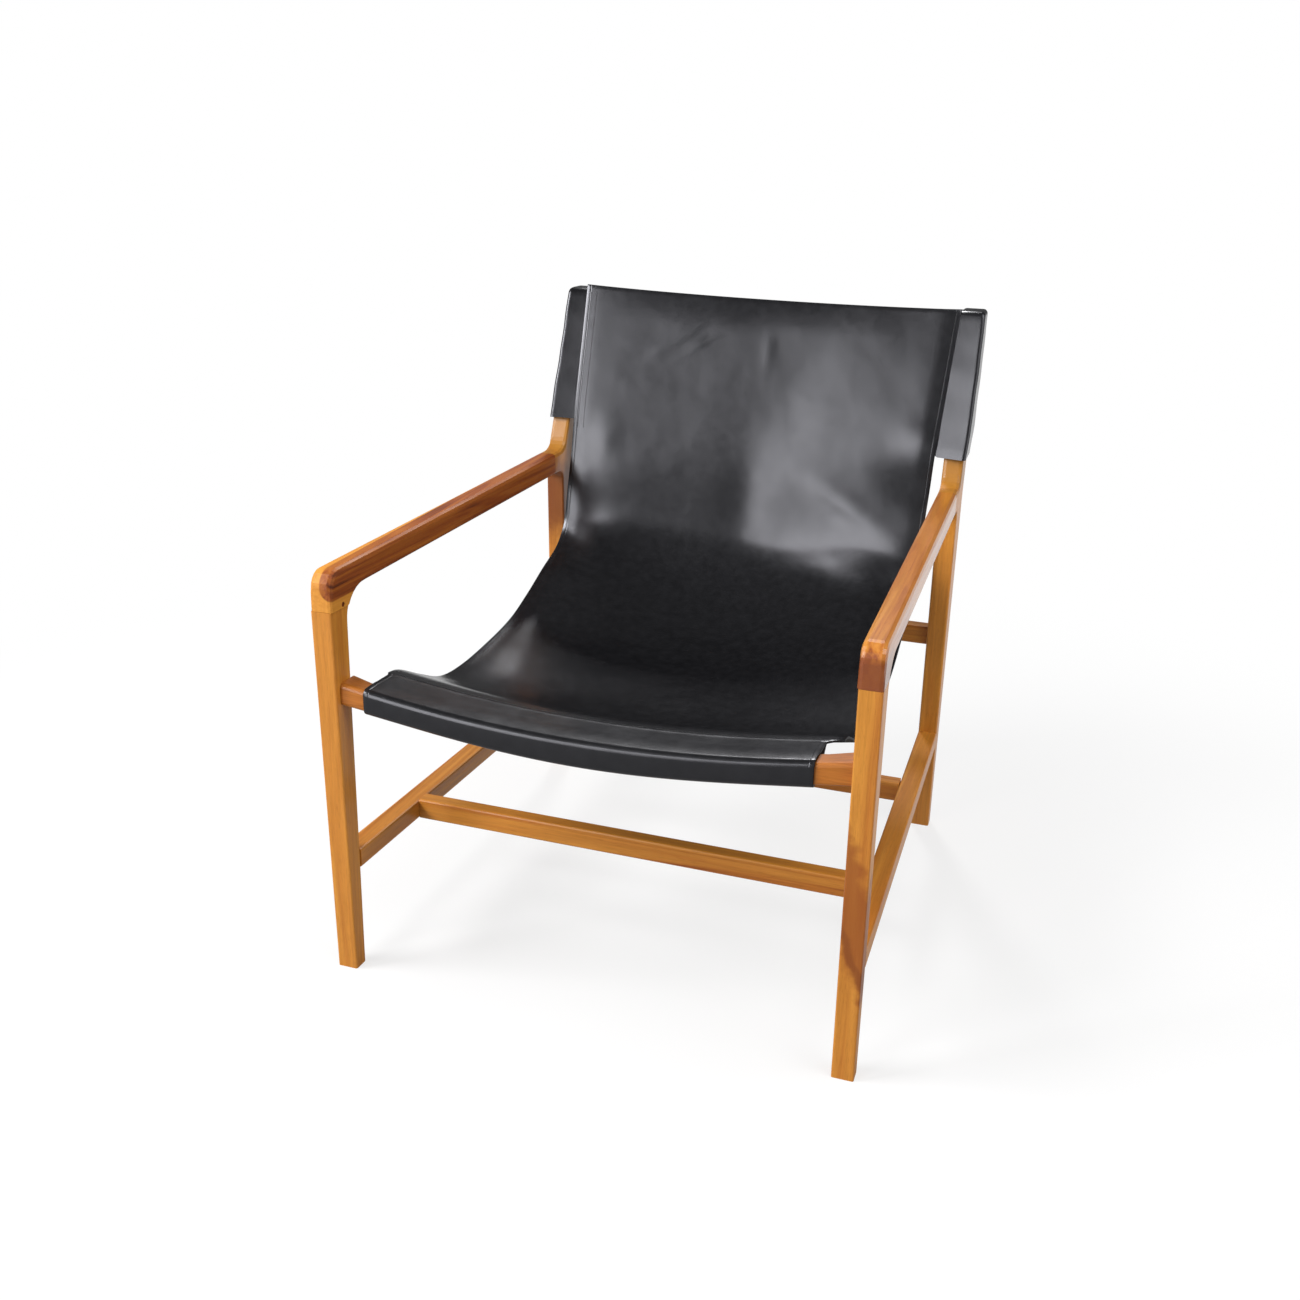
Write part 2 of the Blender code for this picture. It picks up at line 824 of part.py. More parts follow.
def make_sling(material, parent):
    """Make the hide that forms the pocket, the seat and the back."""
    mesh = bmesh.new()
    columns = []
    for step in range(sling_columns + 1):
        across = 2 * step / sling_columns - 1
        columns.append([mesh.verts.new(point) for point in sling_column(across)])
    for column, after in zip(columns, columns[1:]):
        for row in range(len(column) - 1):
            mesh.faces.new((column[row], after[row], after[row + 1], column[row + 1]))
    data = bpy.data.meshes.new("sling")
    mesh.normal_update()
    mesh.to_mesh(data)
    mesh.free()
    data.shade_smooth()
    data.materials.append(material)
    sling = bpy.data.objects.new("sling", data)
    sling.parent = parent
    bpy.context.scene.collection.objects.link(sling)
    thickness = sling.modifiers.new("Hide", "SOLIDIFY")
    thickness.thickness = leather
    thickness.offset = -1
    thickness.use_even_offset = True
    return sling


# Back sleeves

def sleeve_ring(side, height, grow):
    """Return one level ring round a back post, grown outwards."""
    front = post_face(height) - level_reach(grow)
    back = post_back(height) + level_reach(grow)
    low = -grow
    high = member_width + grow
    points = rounded_rectangle(low, high, front, back, max(grow, edge_round), round_steps)
    return [Vector((side * (side_x(place, height) - inset), place, height)) for inset, place in points]


def loft(rings):
    """Return the bmesh of a closed solid through rings with the same number of points."""
    mesh = bmesh.new()
    loops = [[mesh.verts.new(point) for point in ring] for ring in rings]
    count = len(loops[0])
    for loop, after in zip(loops, loops[1:]):
        for index in range(count):
            beside = (index + 1) % count
            mesh.faces.new((loop[index], loop[beside], after[beside], after[index]))
    mesh.faces.new(reversed(loops[0]))
    mesh.faces.new(loops[-1])
    return mesh


def post_height(share):
    """Return the height at a share of the way up a back post from its bend."""
    return mix(bend_height, post_top_height, share)


def make_sleeve(side, bottom_share, material, parent):
    """Make the closed leather sleeve that slides over a back post."""
    bottom = post_height(bottom_share)
    grow = fit_gap + sleeve_leather
    top = post_top_height + grow
    shoulder = top - sleeve_round
    rings = [sleeve_ring(side, height, grow) for height in (bottom, shoulder)]
    for step in range(1, round_steps + 1):
        angle = math.pi / 2 * step / round_steps
        inset = sleeve_round * (1 - math.cos(angle))
        rings.append(sleeve_ring(side, shoulder + sleeve_round * math.sin(angle), grow - inset))
    sleeve = make_object("back_sleeve_" + side_names[side], loft(rings), material, parent)

    ends = []
    for height in (post_height(sleeve_flap_bottom_share), shoulder):
        front = post_face(height) - level_reach(sleeve_leather)
        back = post_face(height) - level_reach(fit_gap)
        corners = ((member_width - cut_overrun, front), (member_width + sleeve_flap_width, front),
                   (member_width + sleeve_flap_width, back), (member_width - cut_overrun, back))
        ends.append([Vector((inset, place, height)) for inset, place in corners])
    flap = loft(ends)
    lay_on_side(flap, side)
    apply_tool(sleeve, "flap", flap, "UNION", parent)

    hollow = loft([sleeve_ring(side, bottom - cut_overrun, fit_gap),
                   sleeve_ring(side, post_top_height + fit_gap, fit_gap)])
    apply_tool(sleeve, "hollow", hollow, "DIFFERENCE", parent)


# Seams

def make_thread(name, points, material, parent):
    """Make a sewing thread along points on the leather."""
    data = bpy.data.curves.new(name, "CURVE")
    data.dimensions = "3D"
    data.bevel_depth = thread_radius
    data.bevel_resolution = 1
    data.use_fill_caps = True
    spline = data.splines.new("POLY")
    spline.points.add(len(points) - 1)
    for target, point in zip(spline.points, points):
        target.co = (*point, 1)
    data.materials.append(material)
    thread = bpy.data.objects.new(name, data)
    thread.parent = parent
    bpy.context.scene.collection.objects.link(thread)
    return thread


def make_sleeve_thread(side, material, parent):
    """Make the thread that joins a sleeve's flap to the sling's edge."""
    points = []
    lift = level_reach(2 * fit_gap + thread_radius)
    for step in range(thread_steps + 1):
        height = mix(post_height(sleeve_flap_bottom_share), post_top_height, step / thread_steps)
        place = panel_face(height) - lift
        edges = sling_edges(place, height)
        edge = edges[0] if side == left else edges[1]
        points.append((edge - side * seam_inset, place, height))
    return make_thread("sleeve_thread_" + side_names[side], points, material, parent)


def make_pocket_thread(material, parent):
    """Make the thread that closes the pocket behind the seat rail."""
    points = []
    sewn = pocket_seam_place + pocket_seam_margin / 2
    for step in range(thread_steps * 2 + 1):
        across = (step / thread_steps - 1) * (1 - seam_inset / pocket_left)
        seat = seat_points(across)
        x = mix(-pocket_left, pocket_right, (across + 1) / 2)
        points.append((x, sewn, height_on(seat, sewn) + 2 * fit_gap + thread_radius))
    return make_thread("pocket_thread", points, material, parent)


# Whole chair

def centre_on_floor(parent):
    """Move the chair so that its origin lies under the middle of its box."""
    bpy.context.view_layer.update()
    graph = bpy.context.evaluated_depsgraph_get()
    places = []
    for piece in bpy.data.objects:
        if piece.type == "EMPTY" or piece.hide_render:
            continue
        shape = piece.evaluated_get(graph)
        places += [vertex.co.y for vertex in shape.to_mesh().vertices]
        shape.to_mesh_clear()
    parent.location.y = -(min(places) + max(places)) / 2


def make_chair():
    """Make every piece of the chair."""
    for piece in list(bpy.data.objects):
        bpy.data.objects.remove(piece, do_unlink=True)
    origin = bpy.data.objects.new("chair_origin", None)
    bpy.context.scene.collection.objects.link(origin)

    pale = make_material("oiled_wood", oiled_wood, 0.42, 0.3)
    dark = make_material("oiled_heartwood", heartwood, 0.36, 0.4)
    hide = make_material("black_leather", black_hide, 0.45)
    thread = make_material("black_thread", black_thread, 0.8)

    for side in (left, right):
        make_front_leg(side, pale, origin)
        make_armrest(side, dark, origin)
        make_rear_leg(side, pale, origin)
        make_side_stretcher(side, pale, origin)
        make_peg(side, dark, origin)
        make_dowels(side, pale, origin)
    make_seat_rail(pale, origin)
    make_cross_bar("front_cross_stretcher", front_cross_place, cross_top, cross_height, pale, origin)
    make_cross_bar("rear_cross_stretcher", rear_cross_place, cross_top, cross_height, pale, origin)
    make_cross_bar("rear_rail", rear_rail_place, rear_rail_top, rear_rail_height, pale, origin)

    make_sling(hide, origin)
    make_pocket_thread(thread, origin)
    for side, bottom_share in ((left, sleeve_left_bottom_share), (right, sleeve_right_bottom_share)):
        make_sleeve(side, bottom_share, hide, origin)
        make_sleeve_thread(side, thread, origin)
    centre_on_floor(origin)


make_chair()
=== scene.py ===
"""Dresses the low sling chair: oiled wood, a hung black hide, sewn sleeves and a plain studio.

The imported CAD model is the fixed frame, in metres, with X to the right as seen from the front,
Y to the rear and Z up. Left and right are those of a person who looks at the front.
"""

import math

import bmesh
import bpy
from mathutils import Matrix, Vector


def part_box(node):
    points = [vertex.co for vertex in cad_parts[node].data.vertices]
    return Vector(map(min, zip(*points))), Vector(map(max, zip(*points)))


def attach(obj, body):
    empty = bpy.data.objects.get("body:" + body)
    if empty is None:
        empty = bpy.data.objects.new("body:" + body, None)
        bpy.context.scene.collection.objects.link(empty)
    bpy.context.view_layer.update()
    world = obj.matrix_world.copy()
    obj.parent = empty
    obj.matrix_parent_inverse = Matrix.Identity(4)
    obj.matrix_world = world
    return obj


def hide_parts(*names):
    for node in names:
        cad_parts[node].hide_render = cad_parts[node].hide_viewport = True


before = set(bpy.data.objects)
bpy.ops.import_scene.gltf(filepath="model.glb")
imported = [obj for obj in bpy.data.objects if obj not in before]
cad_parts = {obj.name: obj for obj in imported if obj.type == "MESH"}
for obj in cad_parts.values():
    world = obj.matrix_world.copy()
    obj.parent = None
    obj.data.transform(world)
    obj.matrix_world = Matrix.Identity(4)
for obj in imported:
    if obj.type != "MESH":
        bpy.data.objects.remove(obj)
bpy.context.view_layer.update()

bl_info = {
    "name": "Low sling chair",
    "version": (1, 0, 0),
    "blender": (4, 5, 0),
    "location": "View3D > Sidebar > Sling chair",
    "description": "Finishes a low chair of oiled hardwood with a hung leather sling",
    "category": "Object",
}

left = -1
right = 1
side_names = {left: "left", right: "right"}

# Pieces of the frame, by the way their grain runs

upright_pieces = ("front_leg_left", "front_leg_right", "rear_leg_left", "rear_leg_right")
long_pieces = ("side_stretcher_left", "side_stretcher_right")
cross_pieces = ("front_cross_stretcher", "rear_cross_stretcher", "rear_rail")
pegs = ("arm_peg_left", "arm_peg_right")
dowels = (
    "arm_dowel_left_lower",
    "arm_dowel_left_upper",
    "arm_dowel_right_lower",
    "arm_dowel_right_upper",
)

# Frame sizes that the leather follows, with places measured from the front of the front feet

front_leg_lean = 0.0141
front_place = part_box("front_leg_left")[0].y + front_leg_lean
half_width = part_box("front_leg_right")[1].x
fit_gap = 0.0003
front_leg_width = 0.0257
member_width = 0.027
side_taper_share = 0.0222
side_lean_share = 0.0036
seat_rail_place = -0.0035
seat_rail_depth = 0.028
seat_rail_height = 0.028
seat_rail_end_top = 0.3845
seat_rail_bow = 0.027
seat_rail_low_place = -0.008
seat_rail_under_rise = 0.0025
seat_rail_round = 0.005
bend_height = 0.515
bend_front_place = 0.6278
post_top_height = 0.760
post_top_front_place = 0.7222
post_foot_back_place = 0.6854
post_top_back_place = 0.7512
post_corner_round = 0.0025


# Sizes and colours that a user would change

class WoodSettings(bpy.types.PropertyGroup):
    """Colours and finish of the timber."""

    pale: bpy.props.FloatVectorProperty(
        name="Pale wood", description="Sapwood colour of legs and stretchers",
        default=(0.68, 0.285, 0.040), size=3, min=0, max=1, subtype="COLOR",
    )
    amber: bpy.props.FloatVectorProperty(
        name="Amber streaks", description="Colour of the darker streaks in the pale wood",
        default=(0.50, 0.165, 0.020), size=3, min=0, max=1, subtype="COLOR",
    )
    heart: bpy.props.FloatVectorProperty(
        name="Heartwood", description="Red-brown colour of the armrests",
        default=(0.27, 0.062, 0.009), size=3, min=0, max=1, subtype="COLOR",
    )
    deep_heart: bpy.props.FloatVectorProperty(
        name="Deep heartwood", description="Darkest streaks of the heartwood",
        default=(0.10, 0.021, 0.004), size=3, min=0, max=1, subtype="COLOR",
    )
    roughness: bpy.props.FloatProperty(
        name="Roughness", description="Roughness of the oiled surface",
        default=0.40, min=0.05, max=1, subtype="FACTOR",
    )


class LeatherSettings(bpy.types.PropertyGroup):
    """Sizes and colour of the hide and its seams."""

    thickness: bpy.props.FloatProperty(
        name="Hide thickness", description="Thickness of the sling's hide",
        default=0.0026, min=0.001, max=0.005, unit="LENGTH",
    )
    sleeve_thickness: bpy.props.FloatProperty(
        name="Sleeve thickness", description="Thickness of the sleeves over the back posts",
        default=0.0025, min=0.001, max=0.005, unit="LENGTH",
    )
    colour: bpy.props.FloatVectorProperty(
        name="Hide colour", description="Colour of the dyed grain side",
        default=(0.0045, 0.0045, 0.0052), size=3, min=0, max=1, subtype="COLOR",
    )
    flesh: bpy.props.FloatVectorProperty(
        name="Flesh side", description="Colour of the rough inner side",
        default=(0.022, 0.021, 0.021), size=3, min=0, max=1, subtype="COLOR",
    )
    roughness: bpy.props.FloatProperty(
        name="Roughness", description="Roughness of the grain side",
        default=0.25, min=0.05, max=1, subtype="FACTOR",
    )
    stitch_length: bpy.props.FloatProperty(
        name="Stitch length", description="Length of one stitch",
        default=0.0042, min=0.002, max=0.01, unit="LENGTH",
    )


class StudioSettings(bpy.types.PropertyGroup):
    """Light levels of the studio."""

    key_power: bpy.props.FloatProperty(
        name="Main light", description="Power of the large soft light high at the left",
        default=180, min=0, max=1000, unit="POWER",
    )
    window_power: bpy.props.FloatProperty(
        name="Tall light", description="Power of the tall soft light that the hide's back reflects",
        default=186, min=0, max=1000, unit="POWER",
    )
    front_power: bpy.props.FloatProperty(
        name="Front light", description="Power of the wide dim light beside it",
        default=5.5, min=0, max=1000, unit="POWER",
    )
    rear_power: bpy.props.FloatProperty(
        name="Rear light", description="Power of the narrow soft light behind the chair",
        default=38, min=0, max=1000, unit="POWER",
    )
    fill_power: bpy.props.FloatProperty(
        name="Side light", description="Power of the soft light at the right",
        default=54, min=0, max=1000, unit="POWER",
    )
    top_power: bpy.props.FloatProperty(
        name="Top light", description="Power of the soft light overhead",
        default=34, min=0, max=1000, unit="POWER",
    )
    ambient: bpy.props.FloatProperty(
        name="Room light", description="Strength of the light from all round",
        default=0.12, min=0, max=2,
    )


# Small helpers

def mix(first, second, share):
    """Return a value at a share of the way between two others."""
    return first + (second - first) * share


def mix_colours(first, second, share):
    """Return a colour at a share of the way between two others."""
    return tuple(mix(a, b, share) for a, b in zip(first, second))


def clamp_share(share):
    """Return a share held between none and all."""
    return min(max(share, 0), 1)


def ease(share):
    """Return a share that starts and ends softly."""
    share = clamp_share(share)
    return share * share * (3 - 2 * share)


def hump(distance, reach):
    """Return a smooth hump that is one in its middle and nothing beyond about twice its reach."""
    return math.exp(-((distance / reach) ** 2))


def smooth_rows(rows, steps):
    """Return rows read from a smooth curve through the given rows."""
    result = []
    last = len(rows) - 1
    for index in range(last):
        before = rows[max(index - 1, 0)]
        after = rows[min(index + 2, last)]
        for step in range(steps):
            t = step / steps
            row = []
            for a, b, c, d in zip(before, rows[index], rows[index + 1], after):
                pull = 2 * b + (c - a) * t + (2 * a - 5 * b + 4 * c - d) * t ** 2
                pull += (3 * b - a - 3 * c + d) * t ** 3
                row.append(pull / 2)
            result.append(tuple(row))
    result.append(rows[last])
    return result


# Finish of the wood. Each noise has its scales along and across the grain, its detail, its
# roughness and its distortion. The figure's steps lead from the light to the dark tone. The
# heartwood's corner is an X and a height, and the nose band has two places with the softness and
# the waviness of its borders

figure_noise = (1.9, 62, 3, 0.55, 1.1)
streak_noise = (9, 260, 4, 0.6, 0.2)
pore_noise = (60, 1500, 2, 0.5, 0.0)
figure_weight = 0.72
figure_steps = (-0.16, 0.0, 0.09, 0.19)
figure_move = 3.1
white = (1.0, 1.0, 1.0)
rail_tone = (0.380, 0.125, 0.013)
# The back posts' tone is painted shade: a duller, darker colour for where they stand between the
# armrests and the sleeves
post_painted_shade = (0.340, 0.148, 0.021)
streak_shade = (0.74, 0.66, 0.58)
streak_strength = 0.85
pore_shade = (0.62, 0.52, 0.45)
pore_strength = 0.45
patch_shade = (0.80, 0.72, 0.62)
patch_strength = 0.8
wood_shine = 0.32
wood_relief = 0.12
wood_relief_depth = 0.0006
coat_roughness = 0.16
plain_coat = 0.2
glossy_coat = 0.7
matt_armrest = 0.10
heartwood_corner = (-0.2957, 0.499)
heartwood_round = 0.015
heartwood_soft = 0.0012
nose_band = (-0.45, -0.335, 0.012, 0.02)

# Finish of the leather and the thread, with the line creased beside the hide's edges. Each
# noise has its place, its stretch, its scale, its detail and its roughness, and each side of the
# hide has the spread of its roughness, its relief, its fibres' scale and its pebbles' weight

even_stretch = (1, 1, 1)
broad_noise = ((0.3, 0.1, 0.7), even_stretch, 14, 4, 0.6)
mottle_noise = ((0.2, 0.5, 0.1), even_stretch, 85, 3, 0.6)
wave_noise = ((0.6, 0.2, 0.8), even_stretch, 22, 1, 0.4)
border_noise = ((0.2, 0.6, 0.4), even_stretch, 46, 3, 0.5)
grain_side = (0.02, 0.028, 260, 1.0)
flesh_side = (0.04, 0.6, 900, 0.3)
cool_gloss = (0.93, 0.93, 1.0)
grain_shine = 0.62
flesh_shine = 0.2
flesh_roughness = 0.8
edge_shine = 0.3
edge_roughness = 0.60
edge_shade = 0.8
mottle_lift = 1.7
broad_gloss_weight = 0.6
pebble_scale = 620
leather_relief_depth = 0.0005
wave_relief = 0.35
wave_depth = 0.0014
edge_line_inset = 0.0060
edge_line_width = 0.0011
edge_line_depth = 0.0006
edge_line_relief = 0.25
thread_dark = (0.010, 0.010, 0.011)
thread_light = (0.035, 0.035, 0.038)
thread_roughness = 0.55
thread_twist_scale = 900


# Materials

def new_material(name):
    """Return an empty node material and its shader."""
    material = bpy.data.materials.new(name)
    material.use_nodes = True
    return material, shader_of(material)


def shader_of(material):
    """Return a material's shader."""
    return material.node_tree.nodes["Principled BSDF"]


def add_node(material, kind, **settings):
    """Add a node and set its properties."""
    node = material.node_tree.nodes.new(kind)
    for name, value in settings.items():
        setattr(node, name, value)
    return node


def set_inputs(node, values):
    """Set inputs of a node by their names."""
    for name, value in values.items():
        node.inputs[name].default_value = value


def link(material, start, end):
    """Link an output to an input."""
    material.node_tree.links.new(start, end)


def feed(material, value, socket):
    """Link an output to an input, or set the input to a number or a colour."""
    if isinstance(value, bpy.types.NodeSocket):
        link(material, value, socket)
    elif isinstance(value, (int, float)):
        socket.default_value = value
    else:
        socket.default_value = (*value, 1)


def object_place(material):
    """Return a point's place in the piece's own coordinates."""
    return add_node(material, "ShaderNodeTexCoord").outputs["Object"]


def split_axes(material, vector):
    """Return the X, Y and Z of a vector."""
    split = add_node(material, "ShaderNodeSeparateXYZ")
    link(material, vector, split.inputs["Vector"])
    return split.outputs


def stretched_noise(material, place, stretch, scale, detail, roughness=0.5, distortion=0.0):
    """Add noise on the piece's own coordinates, stretched along an axis."""
    mapping = add_node(material, "ShaderNodeMapping")
    set_inputs(mapping, {"Scale": stretch, "Location": place})
    link(material, object_place(material), mapping.inputs["Vector"])
    noise = add_node(material, "ShaderNodeTexNoise")
    set_inputs(noise, {
        "Scale": scale, "Detail": detail, "Roughness": roughness, "Distortion": distortion,
    })
    link(material, mapping.outputs["Vector"], noise.inputs["Vector"])
    return noise.outputs["Fac"]


def ramp(material, value, stops):
    """Add a colour ramp through stops of place and colour."""
    node = add_node(material, "ShaderNodeValToRGB")
    elements = node.color_ramp.elements
    while len(elements) < len(stops):
        elements.new(0.5)
    for element, (place, colour) in zip(elements, stops):
        element.position = place
        element.color = (*colour, 1)
    link(material, value, node.inputs["Fac"])
    return node.outputs["Color"]


def value_range(material, value, low, high, new_low=0.0, new_high=1.0):
    """Add a soft range change of a value."""
    node = add_node(material, "ShaderNodeMapRange", interpolation_type="SMOOTHSTEP")
    set_inputs(node, {"From Min": low, "From Max": high, "To Min": new_low, "To Max": new_high})
    link(material, value, node.inputs["Value"])
    return node.outputs["Result"]


def blend_colours(material, share, first, second, mode="MIX"):
    """Add a mix of two colours, each a colour or an output."""
    node = add_node(material, "ShaderNodeMix", data_type="RGBA", blend_type=mode)
    for value, index in ((share, 0), (first, 6), (second, 7)):
        feed(material, value, node.inputs[index])
    return node.outputs[2]


def maths(material, operation, first, second=0.0):
    """Add a maths node on two values or outputs."""
    node = add_node(material, "ShaderNodeMath", operation=operation)
    feed(material, first, node.inputs[0])
    feed(material, second, node.inputs[1])
    return node.outputs["Value"]


def times(material, first, second):
    """Multiply two values or outputs."""
    return maths(material, "MULTIPLY", first, second)


def add_relief(material, height, strength, depth, normal=None):
    """Add relief, on top of other relief where its normal is given."""
    bump = add_node(material, "ShaderNodeBump")
    set_inputs(bump, {"Strength": strength, "Distance": depth})
    link(material, height, bump.inputs["Height"])
    if normal is not None:
        link(material, normal, bump.inputs["Normal"])
    return bump.outputs["Normal"]


def band_share(material, run, low, high, soft, wobble):
    """Return a share that is one between two places along a direction, with wavy borders."""
    along = add_node(material, "ShaderNodeVectorMath", operation="DOT_PRODUCT")
    link(material, object_place(material), along.inputs[0])
    along.inputs[1].default_value = run
    waves = stretched_noise(material, *border_noise)
    wave = times(material, maths(material, "SUBTRACT", waves, 0.5), wobble)
    place = maths(material, "ADD", along.outputs["Value"], wave)
    rising = value_range(material, place, low - soft, low + soft)
    falling = value_range(material, place, high - soft, high + soft, 1.0, 0.0)
    return times(material, rising, falling)


def corner_share(material, x, height, round_size, soft):
    """Return a share that is one inward of a rounded corner in X and Z."""
    place = split_axes(material, object_place(material))
    squares = []
    for edge, axis in ((x, "X"), (height, "Z")):
        beyond = maths(material, "MAXIMUM", maths(material, "SUBTRACT", edge, place[axis]), 0.0)
        squares.append(maths(material, "POWER", beyond, 2.0))
    reach = maths(material, "SQRT", maths(material, "ADD", *squares))
    return value_range(material, reach, round_size - soft, round_size + soft, 1.0, 0.0)


def grain_noise(material, grain, place, noise):
    """Add noise that runs along the grain's axis."""
    along, across, *character = noise
    stretch = tuple(along if axis == grain else across for axis in "XYZ")
    return stretched_noise(material, place, stretch, 1.0, *character)


def wood(name, grain, offset, tones, dark_from, roughness, coat):
    """Return oiled wood with fine streaks along the grain.

    grain is the axis that the grain runs along and offset moves the figure, so that no two
    pieces look alike. tones are the light, the middle and the dark colour, dark_from is where
    the figure turns dark, from none to all of its range, and coat is the weight of the glossy
    oil film.
    """
    light, middle, dark = tones
    material, shader = new_material(name)
    place = (offset, offset * 1.7, offset * 2.3)
    figure, streaks, pores = (
        grain_noise(material, grain, place, noise)
        for noise in (figure_noise, streak_noise, pore_noise)
    )
    both = maths(material, "ADD", times(material, figure, figure_weight),
                 times(material, streaks, 1 - figure_weight))
    figure_tones = (light, mix_colours(light, middle, 0.55), middle, dark)
    colour = ramp(material, both, [
        (dark_from + step, tone) for step, tone in zip(figure_steps, figure_tones)
    ])
    fine = ramp(material, streaks, ((0.30, streak_shade), (0.60, white)))
    colour = blend_colours(material, streak_strength, colour, fine, "MULTIPLY")
    flecks = ramp(material, pores, ((0.30, pore_shade), (0.44, white)))
    colour = blend_colours(material, pore_strength, colour, flecks, "MULTIPLY")
    link(material, colour, shader.inputs["Base Color"])

    gloss = value_range(material, streaks, 0.25, 0.75, roughness - 0.05, roughness + 0.09)
    link(material, gloss, shader.inputs["Roughness"])
    set_inputs(shader, {
        "Specular IOR Level": wood_shine, "Coat Weight": coat, "Coat Roughness": coat_roughness,
    })
    height = blend_colours(material, 0.5, pores, streaks)
    relief = add_relief(material, height, wood_relief, wood_relief_depth)
    link(material, relief, shader.inputs["Normal"])
    return material


def base_colour_of(material):
    """Return what feeds a material's base colour."""
    return shader_of(material).inputs["Base Color"].links[0].from_socket


def wood_tone(material, colour):
    """Return a colour with the streaks of its wood."""
    streaks = stretched_noise(material, (0.3, 0.8, 0.5), (200, 9, 200), 1.0, 4, 0.6)
    shade = ramp(material, streaks, ((0.30, patch_shade), (0.62, white)))
    return blend_colours(material, patch_strength, colour, shade, "MULTIPLY")


def put_patch(material, share, colour):
    """Lay a colour over a material where share is one."""
    laid = blend_colours(material, share, base_colour_of(material), colour)
    link(material, laid, shader_of(material).inputs["Base Color"])


def leather(name, colour, roughness, flesh=False, shine=grain_shine):
    """Return smooth dyed leather, or its rough flesh side."""
    spread, relief, fibre_scale, pebble_weight = flesh_side if flesh else grain_side
    material, shader = new_material(name)
    broad = stretched_noise(material, *broad_noise)
    mottle = stretched_noise(material, *mottle_noise)
    lighter = tuple(value * mottle_lift + 0.001 for value in colour)
    shade = ramp(material, mottle, ((0.35, colour), (0.72, lighter)))
    link(material, shade, shader.inputs["Base Color"])

    both = maths(material, "ADD", times(material, broad, broad_gloss_weight),
                 times(material, mottle, 1 - broad_gloss_weight))
    gloss = value_range(material, both, 0.32, 0.68, roughness - spread, roughness + spread)
    link(material, gloss, shader.inputs["Roughness"])
    set_inputs(shader, {"Specular IOR Level": shine, "Specular Tint": (*cool_gloss, 1)})

    grain = add_node(material, "ShaderNodeTexVoronoi", feature="DISTANCE_TO_EDGE")
    grain.inputs["Scale"].default_value = pebble_scale
    link(material, object_place(material), grain.inputs["Vector"])
    pebbles = value_range(material, grain.outputs["Distance"], 0.0, 0.16)
    fibres = stretched_noise(material, (0.4, 0.9, 0.2), even_stretch, fibre_scale, 4, 0.6)
    height = maths(material, "ADD", times(material, pebbles, pebble_weight), fibres)
    normal = add_relief(material, height, relief, leather_relief_depth)
    if not flesh:
        waves = stretched_noise(material, *wave_noise)
        normal = add_relief(material, waves, wave_relief, wave_depth, normal)
        line = edge_line_height(material)
        normal = add_relief(material, line, edge_line_relief, edge_line_depth, normal)
    link(material, normal, shader.inputs["Normal"])
    return material


def edge_line_height(material):
    """Return one on the leather and zero in the line creased beside its edges."""
    distances = add_node(material, "ShaderNodeTexCoord").outputs["UV"]
    inset = split_axes(material, distances)["X"]
    off = maths(material, "ABSOLUTE", maths(material, "SUBTRACT", inset, edge_line_inset))
    return value_range(material, off, 0.0, edge_line_width)


def leather_materials():
    """Return the grain side, the flesh side and the burnished edge."""
    names = ("smooth_black_leather", "flesh_side", "burnished_edge")
    if names[0] in bpy.data.materials:
        return [bpy.data.materials[name] for name in names]
    settings = bpy.context.scene.chair_leather
    edge_colour = tuple(value * edge_shade for value in settings.colour)
    return [
        leather(names[0], settings.colour, settings.roughness),
        leather(names[1], settings.flesh, flesh_roughness, flesh=True, shine=flesh_shine),
        leather(names[2], edge_colour, edge_roughness, shine=edge_shine),
    ]


def thread_finish(name):
    """Return twisted waxed thread."""
    material, shader = new_material(name)
    twist = add_node(material, "ShaderNodeTexWave", wave_type="BANDS", bands_direction="DIAGONAL")
    twist.inputs["Scale"].default_value = thread_twist_scale
    link(material, object_place(material), twist.inputs["Vector"])
    colour = ramp(material, twist.outputs["Fac"], ((0.2, thread_dark), (0.8, thread_light)))
    link(material, colour, shader.inputs["Base Color"])
    shader.inputs["Roughness"].default_value = thread_roughness
    return material


# The hide's form

def rail_reach(x):
    """Return how far out along the seat rail a place is, squared."""
    return ((x - seat_rail_low_place) / (half_width - front_leg_width)) ** 2


def seat_rail_top(x):
    """Return the height of the bowed seat rail's upper face."""
    return seat_rail_end_top - seat_rail_bow * (1 - rail_reach(x))


def seat_rail_under(x):
    """Return the height of the bowed seat rail's lower face."""
    reach = rail_reach(x)
    bulge = 4 * max(reach * (1 - reach), 0)
    return seat_rail_top(x) - seat_rail_height + seat_rail_under_rise * bulge


def post_share(height):
    """Return how far up the leaning part of a back post a height is."""
    return (height - bend_height) / (post_top_height - bend_height)


def post_face(height):
    """Return the place of the front face of a back post."""
    return mix(bend_front_place, post_top_front_place, post_share(height))


def post_back(height):
    """Return the place of the rear face of a back post."""
    return mix(post_foot_back_place, post_top_back_place, post_share(height))


def level_reach(thickness):
    """Return the level reach of a layer that lies on the leaning front of a back post."""
    lean = math.atan2(post_top_front_place - bend_front_place, post_top_height - bend_height)
    return thickness / math.cos(lean)


def side_x(place, height):
    """Return how far the outer face of a side frame stands from the middle plane."""
    return half_width - side_taper_share * place - side_lean_share * height


# Where the hide's edges run, as insets from the widest part of the frame

